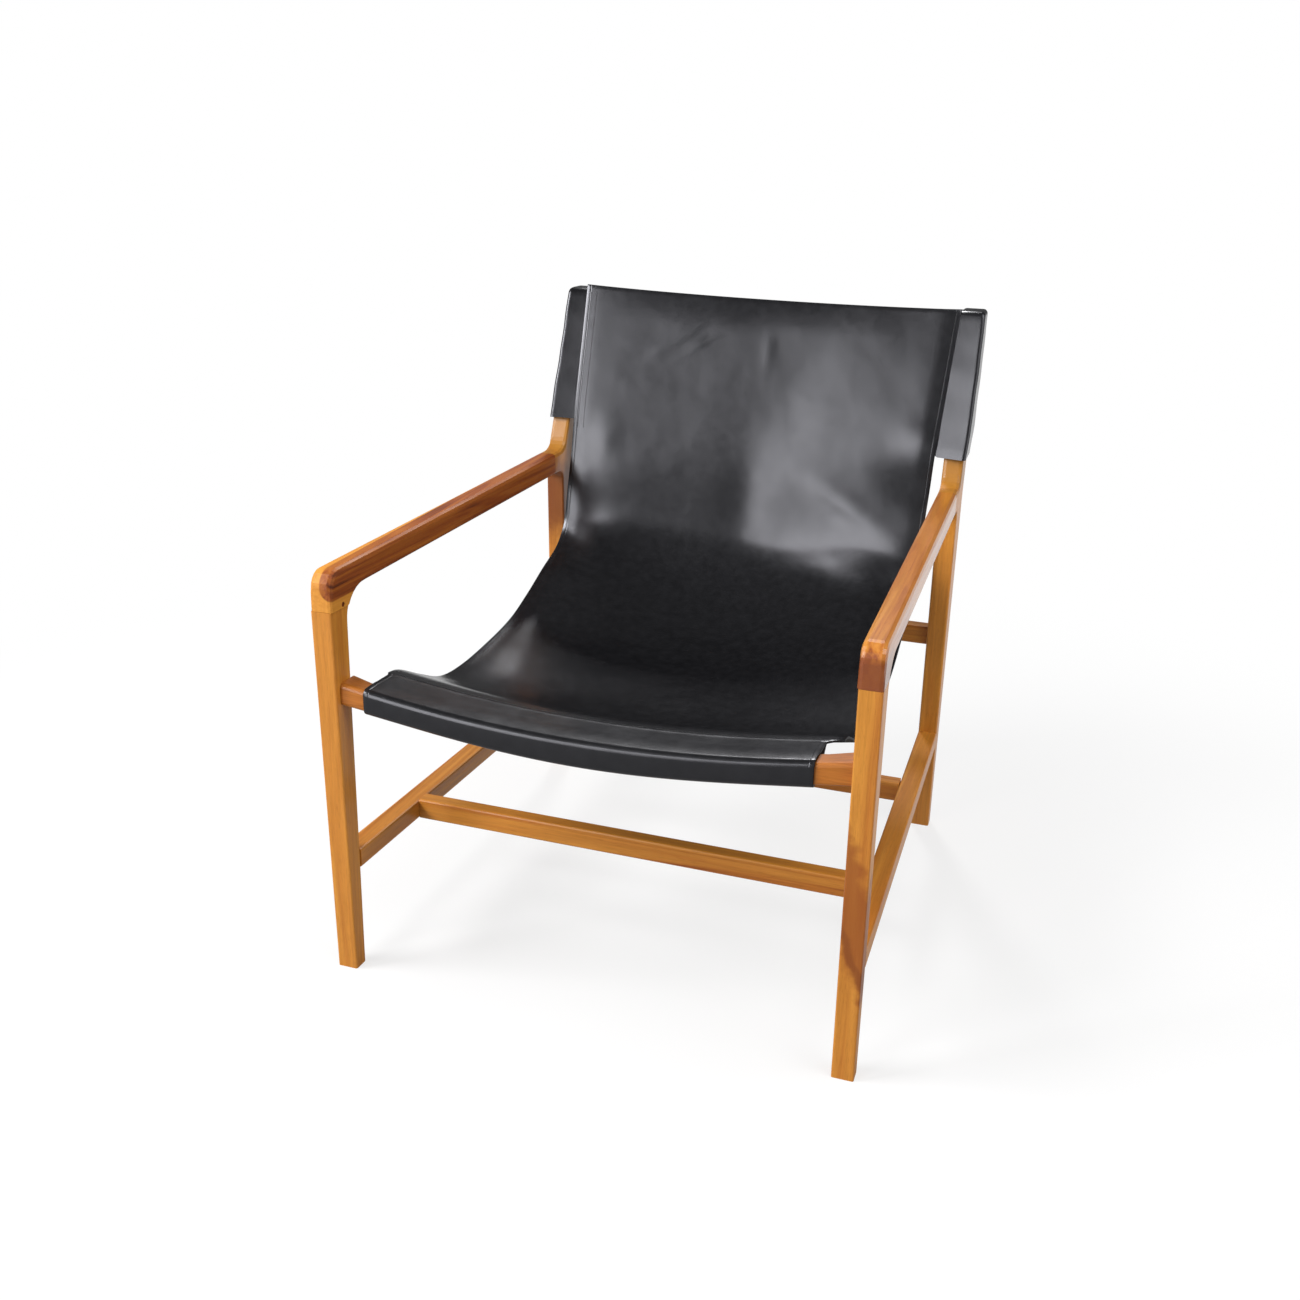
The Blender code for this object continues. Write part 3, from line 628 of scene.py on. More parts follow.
pocket_left_inset = 0.058
pocket_right_inset = 0.067
seat_left_inset = 0.0545
seat_right_inset = 0.0485
waist_left_inset = 0.054
waist_right_inset = 0.0585
back_top_left_inset = 0.045
back_top_right_inset = 0.0465
edge_insets = (
    (pocket_left_inset, seat_left_inset, waist_left_inset, back_top_left_inset),
    (pocket_right_inset, seat_right_inset, waist_right_inset, back_top_right_inset),
)
pocket_end_place = 0.0505
notch_run = 0.010
pocket_seam_place = 0.054
pocket_seam_margin = 0.012
left_rise = 0.0085
right_rise = 0.0040
top_dip = 0.0060
seat_sag = 0.033
back_bow = 0.024

# Rows of the hide between the rail and the bend of the back: place, height of the edge, and how
# much of the rail's bow, of the seat's sag and of the back's bow the middle takes

seat_rows = (
    (0.0301, 0.3824, 1.00, 0.00, 0.00),
    (0.0509, 0.3817, 1.00, 0.00, 0.00),
    (0.0609, 0.3813, 1.00, 0.00, 0.00),
    (0.0860, 0.3752, 0.90, 0.05, 0.00),
    (0.1369, 0.3506, 0.70, 0.25, 0.00),
    (0.1902, 0.3284, 0.45, 0.50, 0.10),
    (0.2499, 0.3223, 0.20, 0.80, 0.20),
    (0.3296, 0.3265, 0.00, 1.00, 0.30),
    (0.4037, 0.3364, 0.00, 1.00, 0.40),
    (0.4646, 0.3560, 0.00, 1.00, 0.60),
    (0.5198, 0.3782, 0.00, 0.85, 0.80),
    (0.5751, 0.3997, 0.00, 0.40, 1.00),
    (0.6058, 0.4338, 0.00, 0.15, 0.95),
    (0.6159, 0.4740, 0.00, 0.00, 0.80),
    (0.6240, 0.5143, 0.00, 0.00, 0.70),
)
flap_width = 0.020
crease_softness = 0.012
valley_share = 0.01
valley_softness = 0.125
valley_depth_share = 0.6
band_ridges = {left: -0.0002, right: 0.0009}
ridge_fade = 0.060
ridge_rise = 0.060
top_curl_height = 0.045
top_curl_depth = 0.0042
bend_smooth_heights = (0.335, 0.400, 0.545, 0.600)
bend_smooth_edge_rise = 0.085
bend_smooth_passes = 70
bend_smooth_strength = 0.5
bend_bow_share = 0.70
top_bow_share = 0.42
hide_columns = 96
seat_row_steps = 6
back_row_count = 42
turn_steps = 7
hem_start_turn = -50
edge_round_share = 0.22
edge_angle = 60
smooth_angle = 38

# Soft folds of the hanging hide, each with its middle as an X and a height, its two reaches, the
# turn of its long axis in degrees, and how far it lifts the face

back_folds = (
    (-0.222, 0.553, 0.030, 0.024, 90, 0.0019),
    (-0.262, 0.533, 0.060, 0.042, 8, -0.0046),
    (-0.240, 0.425, 0.050, 0.036, 90, -0.0036),
    (0.085, 0.382, 0.150, 0.066, -4, -0.0110),
    (0.000, 0.480, 0.060, 0.034, 90, -0.0024),
    (0.160, 0.490, 0.075, 0.018, -27, 0.0026),
    (0.275, 0.522, 0.062, 0.034, -10, -0.0100),
    (0.215, 0.402, 0.070, 0.022, -8, 0.0042),
    (0.262, 0.585, 0.045, 0.022, -15, 0.0018),
    (0.060, 0.650, 0.050, 0.110, -30, -0.0016),
    (-0.110, 0.712, 0.050, 0.0045, 38, 0.0007),
    (-0.085, 0.700, 0.045, 0.0040, 35, 0.0006),
    (-0.140, 0.700, 0.040, 0.0040, 42, 0.0005),
    (0.010, 0.690, 0.008, 0.022, 0, 0.0005),
)
fold_start_place = 0.30
fold_settle_run = 0.20


def hide_edges(place, height):
    """Return the X of the hide's left and right edges."""
    up_share = post_share(height)
    open_share = ease((place - pocket_end_place) / notch_run)
    back_share = clamp_share((place - pocket_end_place) / (bend_front_place - pocket_end_place))
    insets = []
    for pocket, seat, waist, top in edge_insets:
        if up_share > 0:
            insets.append(mix(waist, top, up_share))
        else:
            insets.append(mix(pocket, mix(seat, waist, back_share), open_share))
    return insets[0] - half_width, half_width - insets[1]


def seat_points(across):
    """Return the hide's upper face along one column, from the rail to the bend."""
    points = []
    rail_end = half_width - pocket_left_inset
    for place, height, rail_follow, sag, bow in smooth_rows(seat_rows, seat_row_steps):
        x = mix(*hide_edges(place, height), (across + 1) / 2)
        middle = 1 - across ** 2
        on_rail = min(max(x, -rail_end), rail_end)
        rail_drop = seat_rail_top(rail_end) - seat_rail_top(on_rail)
        points.append(Vector((
            x,
            place + bow * back_bow * panel_bow(across),
            height - rail_follow * rail_drop - sag * seat_sag * middle,
        )))
    return points


def panel_face(height, hide, sleeve):
    """Return the place of the hide's front face where it lies on the sleeves' flaps."""
    return post_face(height) - level_reach(hide + sleeve + 2 * fit_gap)


def panel_bow(across):
    """Return the bow's share at one column: none on the flaps, then a crease and a soft valley."""
    free_half = 1 - flap_width / (half_width - back_top_left_inset)
    reach = abs(across) / free_half
    to_middle = abs(across - valley_share) / (1 - valley_share * (1 if across > 0 else -1))
    valley = 1 - math.sqrt(to_middle ** 2 + valley_softness ** 2) + valley_softness
    depth = mix(1 - reach ** 2, valley * (1 - reach ** 4), valley_depth_share)
    return (math.sqrt(depth ** 2 + crease_softness ** 2) + depth) / 2


def back_points(across, hide, sleeve):
    """Return the hide's front face along one column, from the bend to its top edge."""
    points = []
    lowest = seat_rows[-1][1]
    middle = 1 - across ** 2
    rise = mix(left_rise, right_rise, (across + 1) / 2)
    top = post_top_height + rise - top_dip * middle
    for row in range(1, back_row_count + 1):
        share = row / back_row_count
        height = mix(lowest, top, share)
        bow = mix(bend_bow_share, top_bow_share, share) * back_bow
        surface = panel_face(height, hide, sleeve)
        x = mix(*hide_edges(surface, height), (across + 1) / 2)
        curl = top_curl_depth * clamp_share(1 - (top - height) / top_curl_height) ** 2
        place = surface + (bow + curl) * panel_bow(across) - band_ridge(across, height)
        points.append(Vector((x, place, height)))
    return points


def band_ridge(across, height):
    """Return how far the hide stands forward beside its seam, where the flap ends."""
    half = half_width - back_top_left_inset
    run = abs(across) * half - (half - flap_width)
    shape = 1 - run / flap_width if run > 0 else ease(1 + run / ridge_fade)
    ridge = band_ridges[right if across > 0 else left]
    return ridge * shape * ease((height - bend_height) / ridge_rise)


def soften_bend(points, across):
    """Return a column with its points averaged over the lower back, so that no crease is left."""
    low, low_end, high_start, high = bend_smooth_heights
    rise = bend_smooth_edge_rise * across ** 4
    shares = []
    for point in points:
        into = ease((point.z - low - rise) / (low_end - low))
        out = ease((high - point.z) / (high - high_start))
        shares.append(bend_smooth_strength * into * out if point.y > bend_front_place / 2 else 0)
    for _ in range(bend_smooth_passes):
        softened = list(points)
        for index in range(1, len(points) - 1):
            if shares[index]:
                middle = (points[index - 1] + points[index + 1]) / 2
                softened[index] = points[index].lerp(middle, shares[index])
        points = softened
    return points


def height_on(points, place):
    """Return the height at a place along a column of points."""
    for first, second in zip(points, points[1:]):
        if first.y <= place <= second.y:
            return mix(first.z, second.z, (place - first.y) / (second.y - first.y))
    return points[0].z


def pocket_points(across, seat, hide):
    """Return the hide's outer face along one column, from the sewn end round the rail."""
    x = mix(pocket_left_inset - half_width, half_width - pocket_right_inset, (across + 1) / 2)
    turn = seat_rail_round + fit_gap + hide
    top = seat_rail_top(x)
    front = seat_rail_place + seat_rail_round
    back = seat_rail_place + seat_rail_depth - seat_rail_round
    low = seat_rail_under(x) + seat_rail_round
    high = top - seat_rail_round
    points = []
    under = 2 * (hide + fit_gap)
    for margin in (pocket_seam_margin, pocket_seam_margin / 2, 0):
        place = pocket_seam_place + margin
        points.append(Vector((x, place, height_on(seat, place) - under)))
    corners = (
        (back, low, hem_start_turn, -90),
        (front, low, -90, -180),
        (front, high, -180, -270),
    )
    for place, height, start, end in corners:
        for step in range(turn_steps + 1):
            angle = math.radians(mix(start, end, step / turn_steps))
            across_turn, up_turn = turn * math.cos(angle), turn * math.sin(angle)
            points.append(Vector((x, place + across_turn, height + up_turn)))
    points.append(Vector((x, back, points[-1].z)))
    return points


def fold_lift(point):
    """Return how far the soft folds lift the back's front face."""
    lift = 0
    for x, height, long_reach, short_reach, turn, rise in back_folds:
        angle = math.radians(turn)
        run = point.x - x
        climb = point.z - height
        along = run * math.cos(angle) + climb * math.sin(angle)
        beside = climb * math.cos(angle) - run * math.sin(angle)
        lift += rise * hump(along, long_reach) * hump(beside, short_reach)
    return lift


def hide_column(across, hide, sleeve):
    """Return all points of one column of the hide's outer face."""
    seat = seat_points(across)
    back = back_points(across, hide, sleeve)
    column = pocket_points(across, seat, hide)
    for point in soften_bend(seat + back, across):
        settle = ease((point.y - fold_start_place) / fold_settle_run)
        point.y -= fold_lift(point) * settle
        column.append(point)
    return column


def add_object(name, data):
    """Add an object to the scene."""
    piece = bpy.data.objects.new(name, data)
    bpy.context.scene.collection.objects.link(piece)
    return piece


def leather_piece(name, mesh):
    """Make a leather piece from its finished mesh."""
    data = bpy.data.meshes.new(name)
    mesh.normal_update()
    mesh.to_mesh(data)
    mesh.free()
    for material in leather_materials():
        data.materials.append(material)
    return add_object(name, data)


def sheet_piece(name, columns, thickness):
    """Make a leather sheet from columns of points on its outer face, with its real thickness."""
    mesh = bmesh.new()
    strips = [[mesh.verts.new(point) for point in column] for column in columns]
    for strip, after in zip(strips, strips[1:]):
        for row in range(len(strip) - 1):
            mesh.faces.new((strip[row], after[row], after[row + 1], strip[row + 1]))
    distances = mesh.loops.layers.uv.new("Edge distance")
    places = {corner: index for index, strip in enumerate(strips) for corner in strip}
    last = len(strips) - 1
    width = (strips[last][0].co - strips[0][0].co).length
    for face in mesh.faces:
        for loop in face.loops:
            step = places[loop.vert]
            loop[distances].uv = (min(step, last - step) / last * width, loop.vert.co.z)
    piece = leather_piece(name, mesh)
    wall = piece.modifiers.new("Hide", "SOLIDIFY")
    wall.thickness = thickness
    wall.offset = -1
    wall.use_even_offset = True
    wall.material_offset = 1
    wall.material_offset_rim = 2
    soften = piece.modifiers.new("Burnished edges", "BEVEL")
    soften.width = thickness * edge_round_share
    soften.segments = 2
    soften.limit_method = "ANGLE"
    soften.angle_limit = math.radians(edge_angle)
    soften.material = 2
    finish_piece(piece)
    return piece


def select_only(pieces):
    """Select some pieces alone and activate the first."""
    bpy.ops.object.select_all(action="DESELECT")
    for piece in pieces:
        piece.select_set(True)
    bpy.context.view_layer.objects.active = pieces[0]


def finish_piece(piece):
    """Apply a piece's modifiers and shade it smooth up to its real edges."""
    select_only([piece])
    for modifier in list(piece.modifiers):
        bpy.ops.object.modifier_apply(modifier=modifier.name)
    bpy.ops.object.shade_smooth_by_angle(angle=math.radians(smooth_angle))


def move_to_frame(points):
    """Move points from places behind the front feet to the frame's own places."""
    return [Vector((point.x, point.y + front_place, point.z)) for point in points]


# Sleeves over the back posts

sleeve_bottoms = {left: 0.578, right: 0.569}
flap_bottom = 0.5715
sleeve_corner_round = 0.0055
corner_support_share = 0.3
sleeve_cap_round = 0.0075
sleeve_row_count = 26
cap_steps = 5
sleeve_eases = {left: 0.0004, right: 0.0030}
sleeve_turns = {left: 0.0055, right: 0.0072}
sleeve_corner_steps = 5
flap_start_run = 0.004
ease_run = 0.05
ease_start_share = 0.2
cap_corner_share = 0.6
cap_least_corner = 0.001
cap_draw_share = 0.8
swell_depth = 0.0003
swell_pitch = 46
swell_side_shift = 1.3
fine_swell_share = 0.6
fine_swell_pitch = 2.3
fine_swell_shifts = (90, 40)


def sleeve_ring(side, height, grow, corner, ease_out, fin, fin_thickness):
    """Return one level ring round a back post, with the flap as a fin at its inner front corner."""
    front = post_face(height) - level_reach(grow)
    back = post_back(height) + level_reach(grow)
    low = -grow - ease_out
    high = member_width + grow
    centres = (
        (high - corner, back - corner),
        (low + corner, back - corner),
        (low + corner, front + corner),
    )
    ring = []
    for quarter, (inset, place) in enumerate(centres):
        turn = sleeve_turns[side] if quarter == 2 and grow > fit_gap else 0
        arc = []
        for step in range(sleeve_corner_steps + 1):
            angle = (quarter + step / sleeve_corner_steps) * math.pi / 2
            arc.append((inset + corner * math.cos(angle), place + corner * math.sin(angle)))
        beside = corner * corner_support_share
        start, end = math.pi / 2 * quarter, math.pi / 2 * (quarter + 1)
        arc.insert(0, (arc[0][0] + beside * math.sin(start), arc[0][1] - beside * math.cos(start)))
        arc.append((arc[-1][0] - beside * math.sin(end), arc[-1][1] + beside * math.cos(end)))
        ring += [(across, deep - turn * (1 - across / high)) for across, deep in arc]
    ring += [
        (high + fin, front),
        (high + fin, front + fin_thickness),
        (high, front + fin_thickness),
    ]
    points = []
    for inset, place in ring:
        swell = sleeve_swell(side, height, inset, place)
        x = side * (side_x(place, height) - inset + swell)
        points.append(Vector((x, place - swell, height)))
    return points


def sleeve_swell(side, height, inset, place):
    """Return how far the soft leather of a sleeve stands off its post here."""
    rise = height * swell_pitch + side * swell_side_shift
    inward, rearward = fine_swell_shifts
    fine = math.sin(rise * fine_swell_pitch + inset * inward + place * rearward)
    wave = math.sin(rise) + fine_swell_share * fine
    return swell_depth * wave * (1 if inset < member_width else 0)


def join_rings(mesh, rings):
    """Join rings of points to a tube and return its rings of corners."""
    loops = [[mesh.verts.new(point) for point in ring] for ring in rings]
    for loop, after in zip(loops, loops[1:]):
        for index in range(len(loop)):
            beside = (index + 1) % len(loop)
            mesh.faces.new((loop[index], loop[beside], after[beside], after[index]))
    return loops


def make_sleeve(side, wall):
    """Make a closed sleeve over a back post, with the flap that is sewn behind the hide."""
    grow = fit_gap + wall
    ease_out = sleeve_eases[side]
    bottom = sleeve_bottoms[side]
    shoulder = post_top_height + grow - sleeve_cap_round
    corner = sleeve_corner_round
    thickness = level_reach(wall)
    outer = []
    for row in range(sleeve_row_count + 1):
        height = mix(bottom, shoulder, row / sleeve_row_count)
        fin = flap_width * ease((height - flap_bottom + flap_start_run) / flap_start_run)
        ease_here = ease_out * ease((height - bottom) / ease_run + ease_start_share)
        outer.append(sleeve_ring(side, height, grow, corner, ease_here, fin, thickness))
    for step in range(1, cap_steps + 1):
        angle = math.pi / 2 * step / cap_steps
        drawn_in = sleeve_cap_round * (1 - math.cos(angle))
        fin = flap_width * (1 - step / cap_steps)
        corner = max(sleeve_corner_round - drawn_in * cap_corner_share, cap_least_corner)
        height = shoulder + sleeve_cap_round * math.sin(angle)
        cap_grow = grow - drawn_in * cap_draw_share
        outer.append(sleeve_ring(side, height, cap_grow, corner, ease_out, fin, thickness))
    inner = [
        sleeve_ring(side, height, fit_gap, post_corner_round, 0, 0, fit_gap)
        for height in (bottom, post_top_height + fit_gap)
    ]
    mesh = bmesh.new()
    outer_loops = join_rings(mesh, [move_to_frame(ring) for ring in outer])
    inner_loops = join_rings(mesh, [move_to_frame(ring) for ring in inner])
    mesh.faces.new(outer_loops[-1])
    mesh.faces.new(inner_loops[-1])
    outside = outer_loops[0]
    inside = inner_loops[0]
    for index in range(len(outside)):
        beside = (index + 1) % len(outside)
        rim = mesh.faces.new((outside[index], outside[beside], inside[beside], inside[index]))
        rim.material_index = 2
    mesh.normal_update()
    bmesh.ops.recalc_face_normals(mesh, faces=mesh.faces)
    sleeve = leather_piece("back_sleeve_leather_" + side_names[side], mesh)
    finish_piece(sleeve)
    return sleeve


# Stitches

stitch_gap_share = 0.28
stitch_radius = 0.00045
seam_insets = {left: (0.0075, 0.0165), right: (0.0065,)}
seam_bottom = 0.566
seam_probe_steps = 60
pocket_probe_steps = 80
pocket_seam_inset = 0.008
pocket_probe_height = 0.6
stitch_round_share = 0.7
stitch_lift_share = 0.35


def model_stitch(length):
    """Model one stitch by hand: a short rod with rounded, sunken ends."""
    bpy.ops.object.select_all(action="DESELECT")
    bpy.ops.mesh.primitive_cylinder_add(vertices=6, radius=stitch_radius, depth=length,
                                        end_fill_type="TRIFAN")
    stitch = bpy.context.object
    bpy.ops.object.mode_set(mode="EDIT")
    mesh = bmesh.from_edit_mesh(stitch.data)
    for face in mesh.faces:
        face.select = False
    for edge in mesh.edges:
        edge.select = all(
            abs(abs(corner.co.z) - length / 2) < 1e-6 and corner.co.xy.length > stitch_radius / 2
            for corner in edge.verts
        )
    bmesh.update_edit_mesh(stitch.data)
    bpy.ops.mesh.bevel(offset=stitch_radius * stitch_round_share, segments=2, affect="EDGES")
    bpy.ops.object.mode_set(mode="OBJECT")
    return stitch


def sew(name, line, normals, length, material, replaced):
    """Lay copies of a stitch along a line of points on the leather and join them."""
    stitch = model_stitch(length * (1 - stitch_gap_share))
    spots = []
    travelled = 0
    wanted = length / 2
    for (start, lift), (end, next_lift) in zip(zip(line, normals), zip(line[1:], normals[1:])):
        span = (end - start).length
        while wanted <= travelled + span:
            share = (wanted - travelled) / span
            spots.append((start.lerp(end, share), (end - start).normalized(),
                          lift.lerp(next_lift, share).normalized()))
            wanted += length
        travelled += span
    copies = []
    for spot, run, up in spots:
        copy = stitch.copy()
        copy.data = stitch.data.copy()
        sideways = run.cross(up).normalized()
        turn = Matrix((sideways, up, run)).transposed().to_4x4()
        copy.matrix_world = Matrix.Translation(spot + up * stitch_radius * stitch_lift_share) @ turn
        bpy.context.scene.collection.objects.link(copy)
        copies.append(copy)
    bpy.data.objects.remove(stitch)
    select_only(copies)
    bpy.ops.object.join()
    bpy.ops.object.transform_apply(location=True, rotation=True, scale=True)
    row = bpy.context.object
    row.name = name
    row.data.materials.clear()
    row.data.materials.append(material)
    bpy.ops.object.shade_smooth()
    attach(row, "root")
    if replaced:
        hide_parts(replaced)
    return row


def on_leather(piece, probes, towards):
    """Return the points and normals where lines from probes meet a piece."""
    points = []
    normals = []
    for probe in probes:
        hit, place, normal, _ = piece.ray_cast(probe, towards)
        if hit:
            points.append(place)
            normals.append(normal)
    return points, normals


# The studio: lamps with their places, sizes and settings, then the floor and the camera

lamps = (
    ("main_light", (-3.15, -1.95, 2.95), (1.7, 1.7), "key_power"),
    ("tall_light", (-2.84, -5.35, 2.20), (1.8, 4.3), "window_power"),
    ("front_light", (0.0, -3.60, 1.60), (2.0, 2.6), "front_power"),
    ("side_light", (3.2, -0.6, 1.9), (3.0, 3.0), "fill_power"),
    ("top_light", (1.3, -0.9, 3.1), (1.6, 1.6), "top_power"),
    ("rear_light", (-0.66, 2.33, 2.75), (0.44, 0.8), "rear_power"),
)
lamp_aim = (0, 0, 0.42)
floor_size = 30
floor_roughness = 0.9
floor_shine = 0.1
floor_tone = (0.32, 0.32, 0.32)
floor_tone_seen = (0.86, 0.86, 0.86)
floor_white_reach = (0.5, 1.6)
floor_least_white = 0.70
floor_mirror_run = (-0.5, 0.5)
camera_x = 0.51076
camera_place = -1.29314
camera_height = 0.97873
camera_turn = 18.62
camera_tilt = 20.234
camera_roll = 1.354
camera_lens = 38.54
camera_sensor = 36


def mix_shaders(owner, share, first, second, output):
    """Mix two shaders into the output of a material or of the room."""
    choose = add_node(owner, "ShaderNodeMixShader")
    link(owner, share, choose.inputs["Fac"])
    link(owner, first, choose.inputs[1])
    link(owner, second, choose.inputs[2])
    link(owner, choose.outputs["Shader"], owner.node_tree.nodes[output].inputs["Surface"])


# Operators

class CHAIR_OT_finish_wood(bpy.types.Operator):
    """Oil the timber frame: pale legs and bars, red-brown armrests and dark pegs"""

    bl_idname = "chair.finish_wood"
    bl_label = "Finish the wood"

    def execute(self, context):
        settings = context.scene.chair_wood
        pale = tuple(settings.pale)
        amber = tuple(settings.amber)
        heart = tuple(settings.heart)
        deep = tuple(settings.deep_heart)
        plain = (pale, amber, heart)
        offset = 0.0
        for names, grain, tones, dark_from, matt, coat in (
            (upright_pieces, "Z", plain, 0.58, 0.0, plain_coat),
            (long_pieces, "Y", plain, 0.55, 0.0, plain_coat),
            (cross_pieces, "X", plain, 0.50, 0.0, plain_coat),
            (("front_seat_rail",), "X", (rail_tone, amber, heart), 0.46, 0.0, plain_coat),
            (dowels, "Y", plain, 0.56, 0.0, plain_coat),
            (("armrest_left",), "Y", (amber, heart, deep), 0.44, matt_armrest, 0.0),
            (("armrest_right",), "Y", plain, 0.44, 0.0, glossy_coat),
            (pegs, "X", (heart, deep, deep), 0.50, 0.0, plain_coat),
        ):
            for name in names:
                offset += figure_move
                roughness = settings.roughness + matt
                material = wood("oiled_" + name, grain, offset, tones, dark_from, roughness, coat)
                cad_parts[name].material_slots[0].material = material
        self.add_figure_and_painted_shade(pale, heart, deep)
        return {"FINISHED"}

    def add_figure_and_painted_shade(self, pale, heart, deep):
        """Lay the timber's strongest figure where the chair shows it, and painted shade on the back
        legs.
        """
        material = bpy.data.materials["oiled_armrest_left"]
        share = corner_share(material, *heartwood_corner, heartwood_round, heartwood_soft)
        laid = blend_colours(material, share, wood_tone(material, pale), base_colour_of(material))
        link(material, laid, shader_of(material).inputs["Base Color"])
        dark = mix_colours(heart, deep, 0.6)
        warm_heart = mix_colours(heart, deep, 0.3)
        for name, run, low, high, soft, wobble, strength, colour in (
            ("front_leg_right", (2.7, 0, 1), 0.975, 1.12, 0.022, 0.10, 0.75, heart),
            ("front_leg_right", (2.7, 0, 1), 0.985, 1.015, 0.008, 0.05, 0.45, dark),
            # Painted shade: the left back leg is darkened under its armrest, where the armrest's
            # shade falls
            ("rear_leg_left", (0, 0, 1), 0.40, 0.52, 0.030, 0.05, 0.85, dark),
            # Painted shade: the back posts are dulled between the armrests and the sleeves
            ("rear_leg_left", (0, 0, 1), 0.53, 0.62, 0.010, 0.02, 0.85, post_painted_shade),
            ("rear_leg_right", (0, 0, 1), 0.53, 0.62, 0.010, 0.02, 0.85, post_painted_shade),
            ("armrest_right", (0, 0, 1), 0.440, 0.5030, 0.005, 0.005, 0.9, warm_heart),
        ):
            material = bpy.data.materials["oiled_" + name]
            share = band_share(material, run, low, high, soft, wobble)
            if name == "armrest_right":
                share = times(material, share, band_share(material, (0, 1, 0), *nose_band))
            put_patch(material, times(material, share, strength), colour)


class CHAIR_OT_hang_hide(bpy.types.Operator):
    """Hang the black hide: pocket round the seat rail, seat and back in one piece"""

    bl_idname = "chair.hang_hide"
    bl_label = "Hang the hide"

    def execute(self, context):
        settings = context.scene.chair_leather
        columns = []
        for step in range(hide_columns + 1):
            across = 2 * step / hide_columns - 1
            column = hide_column(across, settings.thickness, settings.sleeve_thickness)
            columns.append(move_to_frame(column))
        hide = sheet_piece("hung_hide", columns, settings.thickness)
        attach(hide, "root")
        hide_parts("sling")
        return {"FINISHED"}


class CHAIR_OT_slip_on_sleeves(bpy.types.Operator):
    """Slip the closed leather sleeves over the back posts"""

    bl_idname = "chair.slip_on_sleeves"
    bl_label = "Slip on the sleeves"

    def execute(self, context):
        settings = context.scene.chair_leather
        for side in (left, right):
            sleeve = make_sleeve(side, settings.sleeve_thickness)
            node = "back_sleeve_" + side_names[side]
            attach(sleeve, "root")
            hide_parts(node)
        return {"FINISHED"}


class CHAIR_OT_sew_seams(bpy.types.Operator):
    """Sew the hide to the sleeves' flaps and close the pocket behind the rail"""

    bl_idname = "chair.sew_seams"
    bl_label = "Sew the seams"

    def execute(self, context):
        settings = context.scene.chair_leather
        hide = bpy.data.objects["hung_hide"]
        material = thread_finish("black_thread")
        for side in (left, right):
            replaced = "sleeve_thread_" + side_names[side]
            for row, inset in enumerate(seam_insets[side]):
                probes = self.back_probes(side, inset)
                line, normals = on_leather(hide, probes, Vector((0, 1, 0)))
                name = "sleeve_stitches_" + side_names[side] + "_" + str(row + 1)
                sew(name, line, normals, settings.stitch_length, material, replaced)
                replaced = None
        probes = self.pocket_probes()
        line, normals = on_leather(hide, probes, Vector((0, 0, -1)))
        sew("pocket_stitches", line, normals, settings.stitch_length, material, "pocket_thread")
        return {"FINISHED"}

    def back_probes(self, side, inset):
        """Return points in front of a sleeve's seam."""
        probes = []
        for step in range(seam_probe_steps + 1):
            height = mix(seam_bottom, post_top_height, step / seam_probe_steps)
            edge = hide_edges(bend_front_place, height)[0 if side == left else 1]
            probes.append(Vector((edge - side * inset, front_place, height)))
        return probes

    def pocket_probes(self):
        """Return points above the pocket's seam."""
        place = front_place + pocket_seam_place + pocket_seam_margin / 2
        low = pocket_left_inset - half_width + pocket_seam_inset
        high = half_width - pocket_right_inset - pocket_seam_inset
        return [
            Vector((mix(low, high, step / pocket_probe_steps), place, pocket_probe_height))
            for step in range(pocket_probe_steps + 1)
        ]


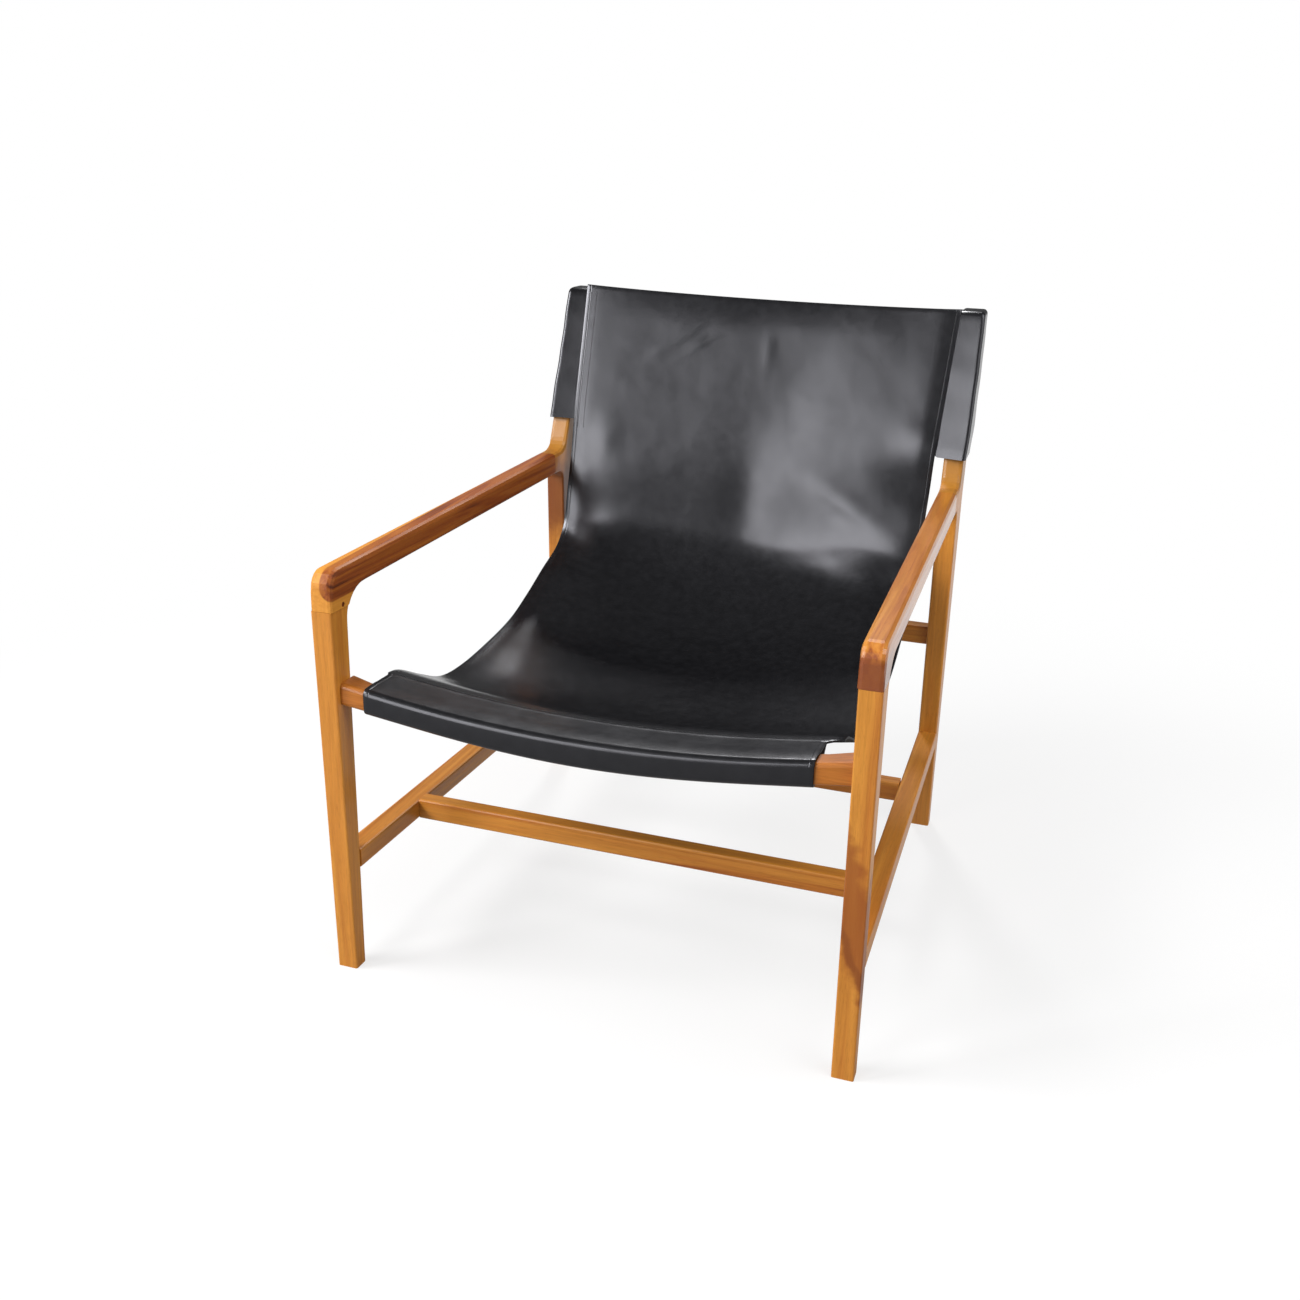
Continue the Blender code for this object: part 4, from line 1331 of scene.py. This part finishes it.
class CHAIR_OT_build_studio(bpy.types.Operator):
    """Set up the pale floor, the soft lights and the camera"""

    bl_idname = "chair.build_studio"
    bl_label = "Build the studio"

    def execute(self, context):
        settings = context.scene.chair_studio
        self.add_floor()
        for name, place, size, power in lamps:
            self.add_light(name, place, size, getattr(settings, power))
        self.set_room_light(settings.ambient)
        self.add_camera()
        context.scene.view_settings.view_transform = "Standard"
        return {"FINISHED"}

    def add_floor(self):
        """Add a wide pale floor that is white to the camera apart from the chair's shadow."""
        bpy.ops.object.select_all(action="DESELECT")
        bpy.ops.mesh.primitive_plane_add(size=floor_size, location=(0, 0, 0))
        floor = bpy.context.object
        floor.name = "pale_floor"
        material, shader = new_material("pale_floor")
        set_inputs(shader, {"Roughness": floor_roughness, "Specular IOR Level": floor_shine})
        glow = add_node(material, "ShaderNodeEmission")
        set_inputs(glow, {"Color": (*white, 1), "Strength": 1})
        place = object_place(material)
        reach = add_node(material, "ShaderNodeVectorMath", operation="LENGTH")
        link(material, place, reach.inputs[0])
        far = value_range(material, reach.outputs["Value"], *floor_white_reach, floor_least_white)
        path = add_node(material, "ShaderNodeLightPath").outputs
        seen = path["Is Camera Ray"]
        tone = blend_colours(material, seen, floor_tone, floor_tone_seen)
        link(material, tone, shader.inputs["Base Color"])
        behind = value_range(material, split_axes(material, place)["Y"], *floor_mirror_run)
        mirrored = times(material, path["Is Glossy Ray"], behind)
        share = times(material, maths(material, "MAXIMUM", seen, mirrored), far)
        mix_shaders(material, share, shader.outputs["BSDF"], glow.outputs["Emission"],
                    "Material Output")
        floor.data.materials.append(material)

    def add_light(self, name, place, size, power):
        """Add a soft rectangular light that faces the chair."""
        data = bpy.data.lights.new(name, "AREA")
        data.shape = "RECTANGLE"
        data.size, data.size_y = size
        data.energy = power
        lamp = add_object(name, data)
        lamp.location = place
        aim = Vector(lamp_aim) - Vector(place)
        lamp.rotation_euler = aim.to_track_quat("-Z", "Y").to_euler()

    def set_room_light(self, strength):
        """Make the room white to the camera and softly lit for the chair."""
        world = bpy.data.worlds.new("studio_room")
        bpy.context.scene.world = world
        world.use_nodes = True
        room = world.node_tree.nodes["Background"]
        backdrop = add_node(world, "ShaderNodeBackground")
        for background, level in ((room, strength), (backdrop, 1)):
            set_inputs(background, {"Color": (*white, 1), "Strength": level})
        seen = add_node(world, "ShaderNodeLightPath").outputs["Is Camera Ray"]
        mix_shaders(world, seen, room.outputs["Background"], backdrop.outputs["Background"],
                    "World Output")

    def add_camera(self):
        """Add the camera at the photograph's place, angle and lens."""
        data = bpy.data.cameras.new("photo_camera")
        data.sensor_width = camera_sensor
        data.lens = camera_lens
        camera = add_object("photo_camera", data)
        place = Matrix.Translation((camera_x, front_place + camera_place, camera_height))
        turn = Matrix.Rotation(math.radians(camera_turn), 4, "Z")
        tilt = Matrix.Rotation(math.radians(90 - camera_tilt), 4, "X")
        roll = Matrix.Rotation(math.radians(camera_roll), 4, "Z")
        camera.matrix_world = place @ turn @ tilt @ roll
        bpy.context.scene.camera = camera


class CHAIR_PT_panel(bpy.types.Panel):
    """Lists the chair's settings and steps"""

    bl_idname = "CHAIR_PT_panel"
    bl_label = "Sling chair"
    bl_space_type = "VIEW_3D"
    bl_region_type = "UI"
    bl_category = "Sling chair"

    def draw(self, context):
        layout = self.layout
        for group in setting_groups:
            settings = getattr(context.scene, group)
            box = layout.box()
            for name in settings.bl_rna.properties.keys():
                if name not in ("rna_type", "name"):
                    box.prop(settings, name)
        for operator in operators:
            layout.operator(operator.bl_idname)


setting_groups = {
    "chair_wood": WoodSettings,
    "chair_leather": LeatherSettings,
    "chair_studio": StudioSettings,
}
operators = (
    CHAIR_OT_finish_wood,
    CHAIR_OT_hang_hide,
    CHAIR_OT_slip_on_sleeves,
    CHAIR_OT_sew_seams,
    CHAIR_OT_build_studio,
)


def register():
    """Register the settings, the operators and the panel."""
    for name, group in setting_groups.items():
        bpy.utils.register_class(group)
        setattr(bpy.types.Scene, name, bpy.props.PointerProperty(type=group))
    for operator in operators:
        bpy.utils.register_class(operator)
    bpy.utils.register_class(CHAIR_PT_panel)


def unregister():
    """Remove what register added."""
    bpy.utils.unregister_class(CHAIR_PT_panel)
    for operator in reversed(operators):
        bpy.utils.unregister_class(operator)
    for name, group in setting_groups.items():
        delattr(bpy.types.Scene, name)
        bpy.utils.unregister_class(group)


def main():
    """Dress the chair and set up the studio."""
    register()
    bpy.ops.chair.finish_wood()
    bpy.ops.chair.hang_hide()
    bpy.ops.chair.slip_on_sleeves()
    bpy.ops.chair.sew_seams()
    bpy.ops.chair.build_studio()


if __name__ == "__main__":
    main()
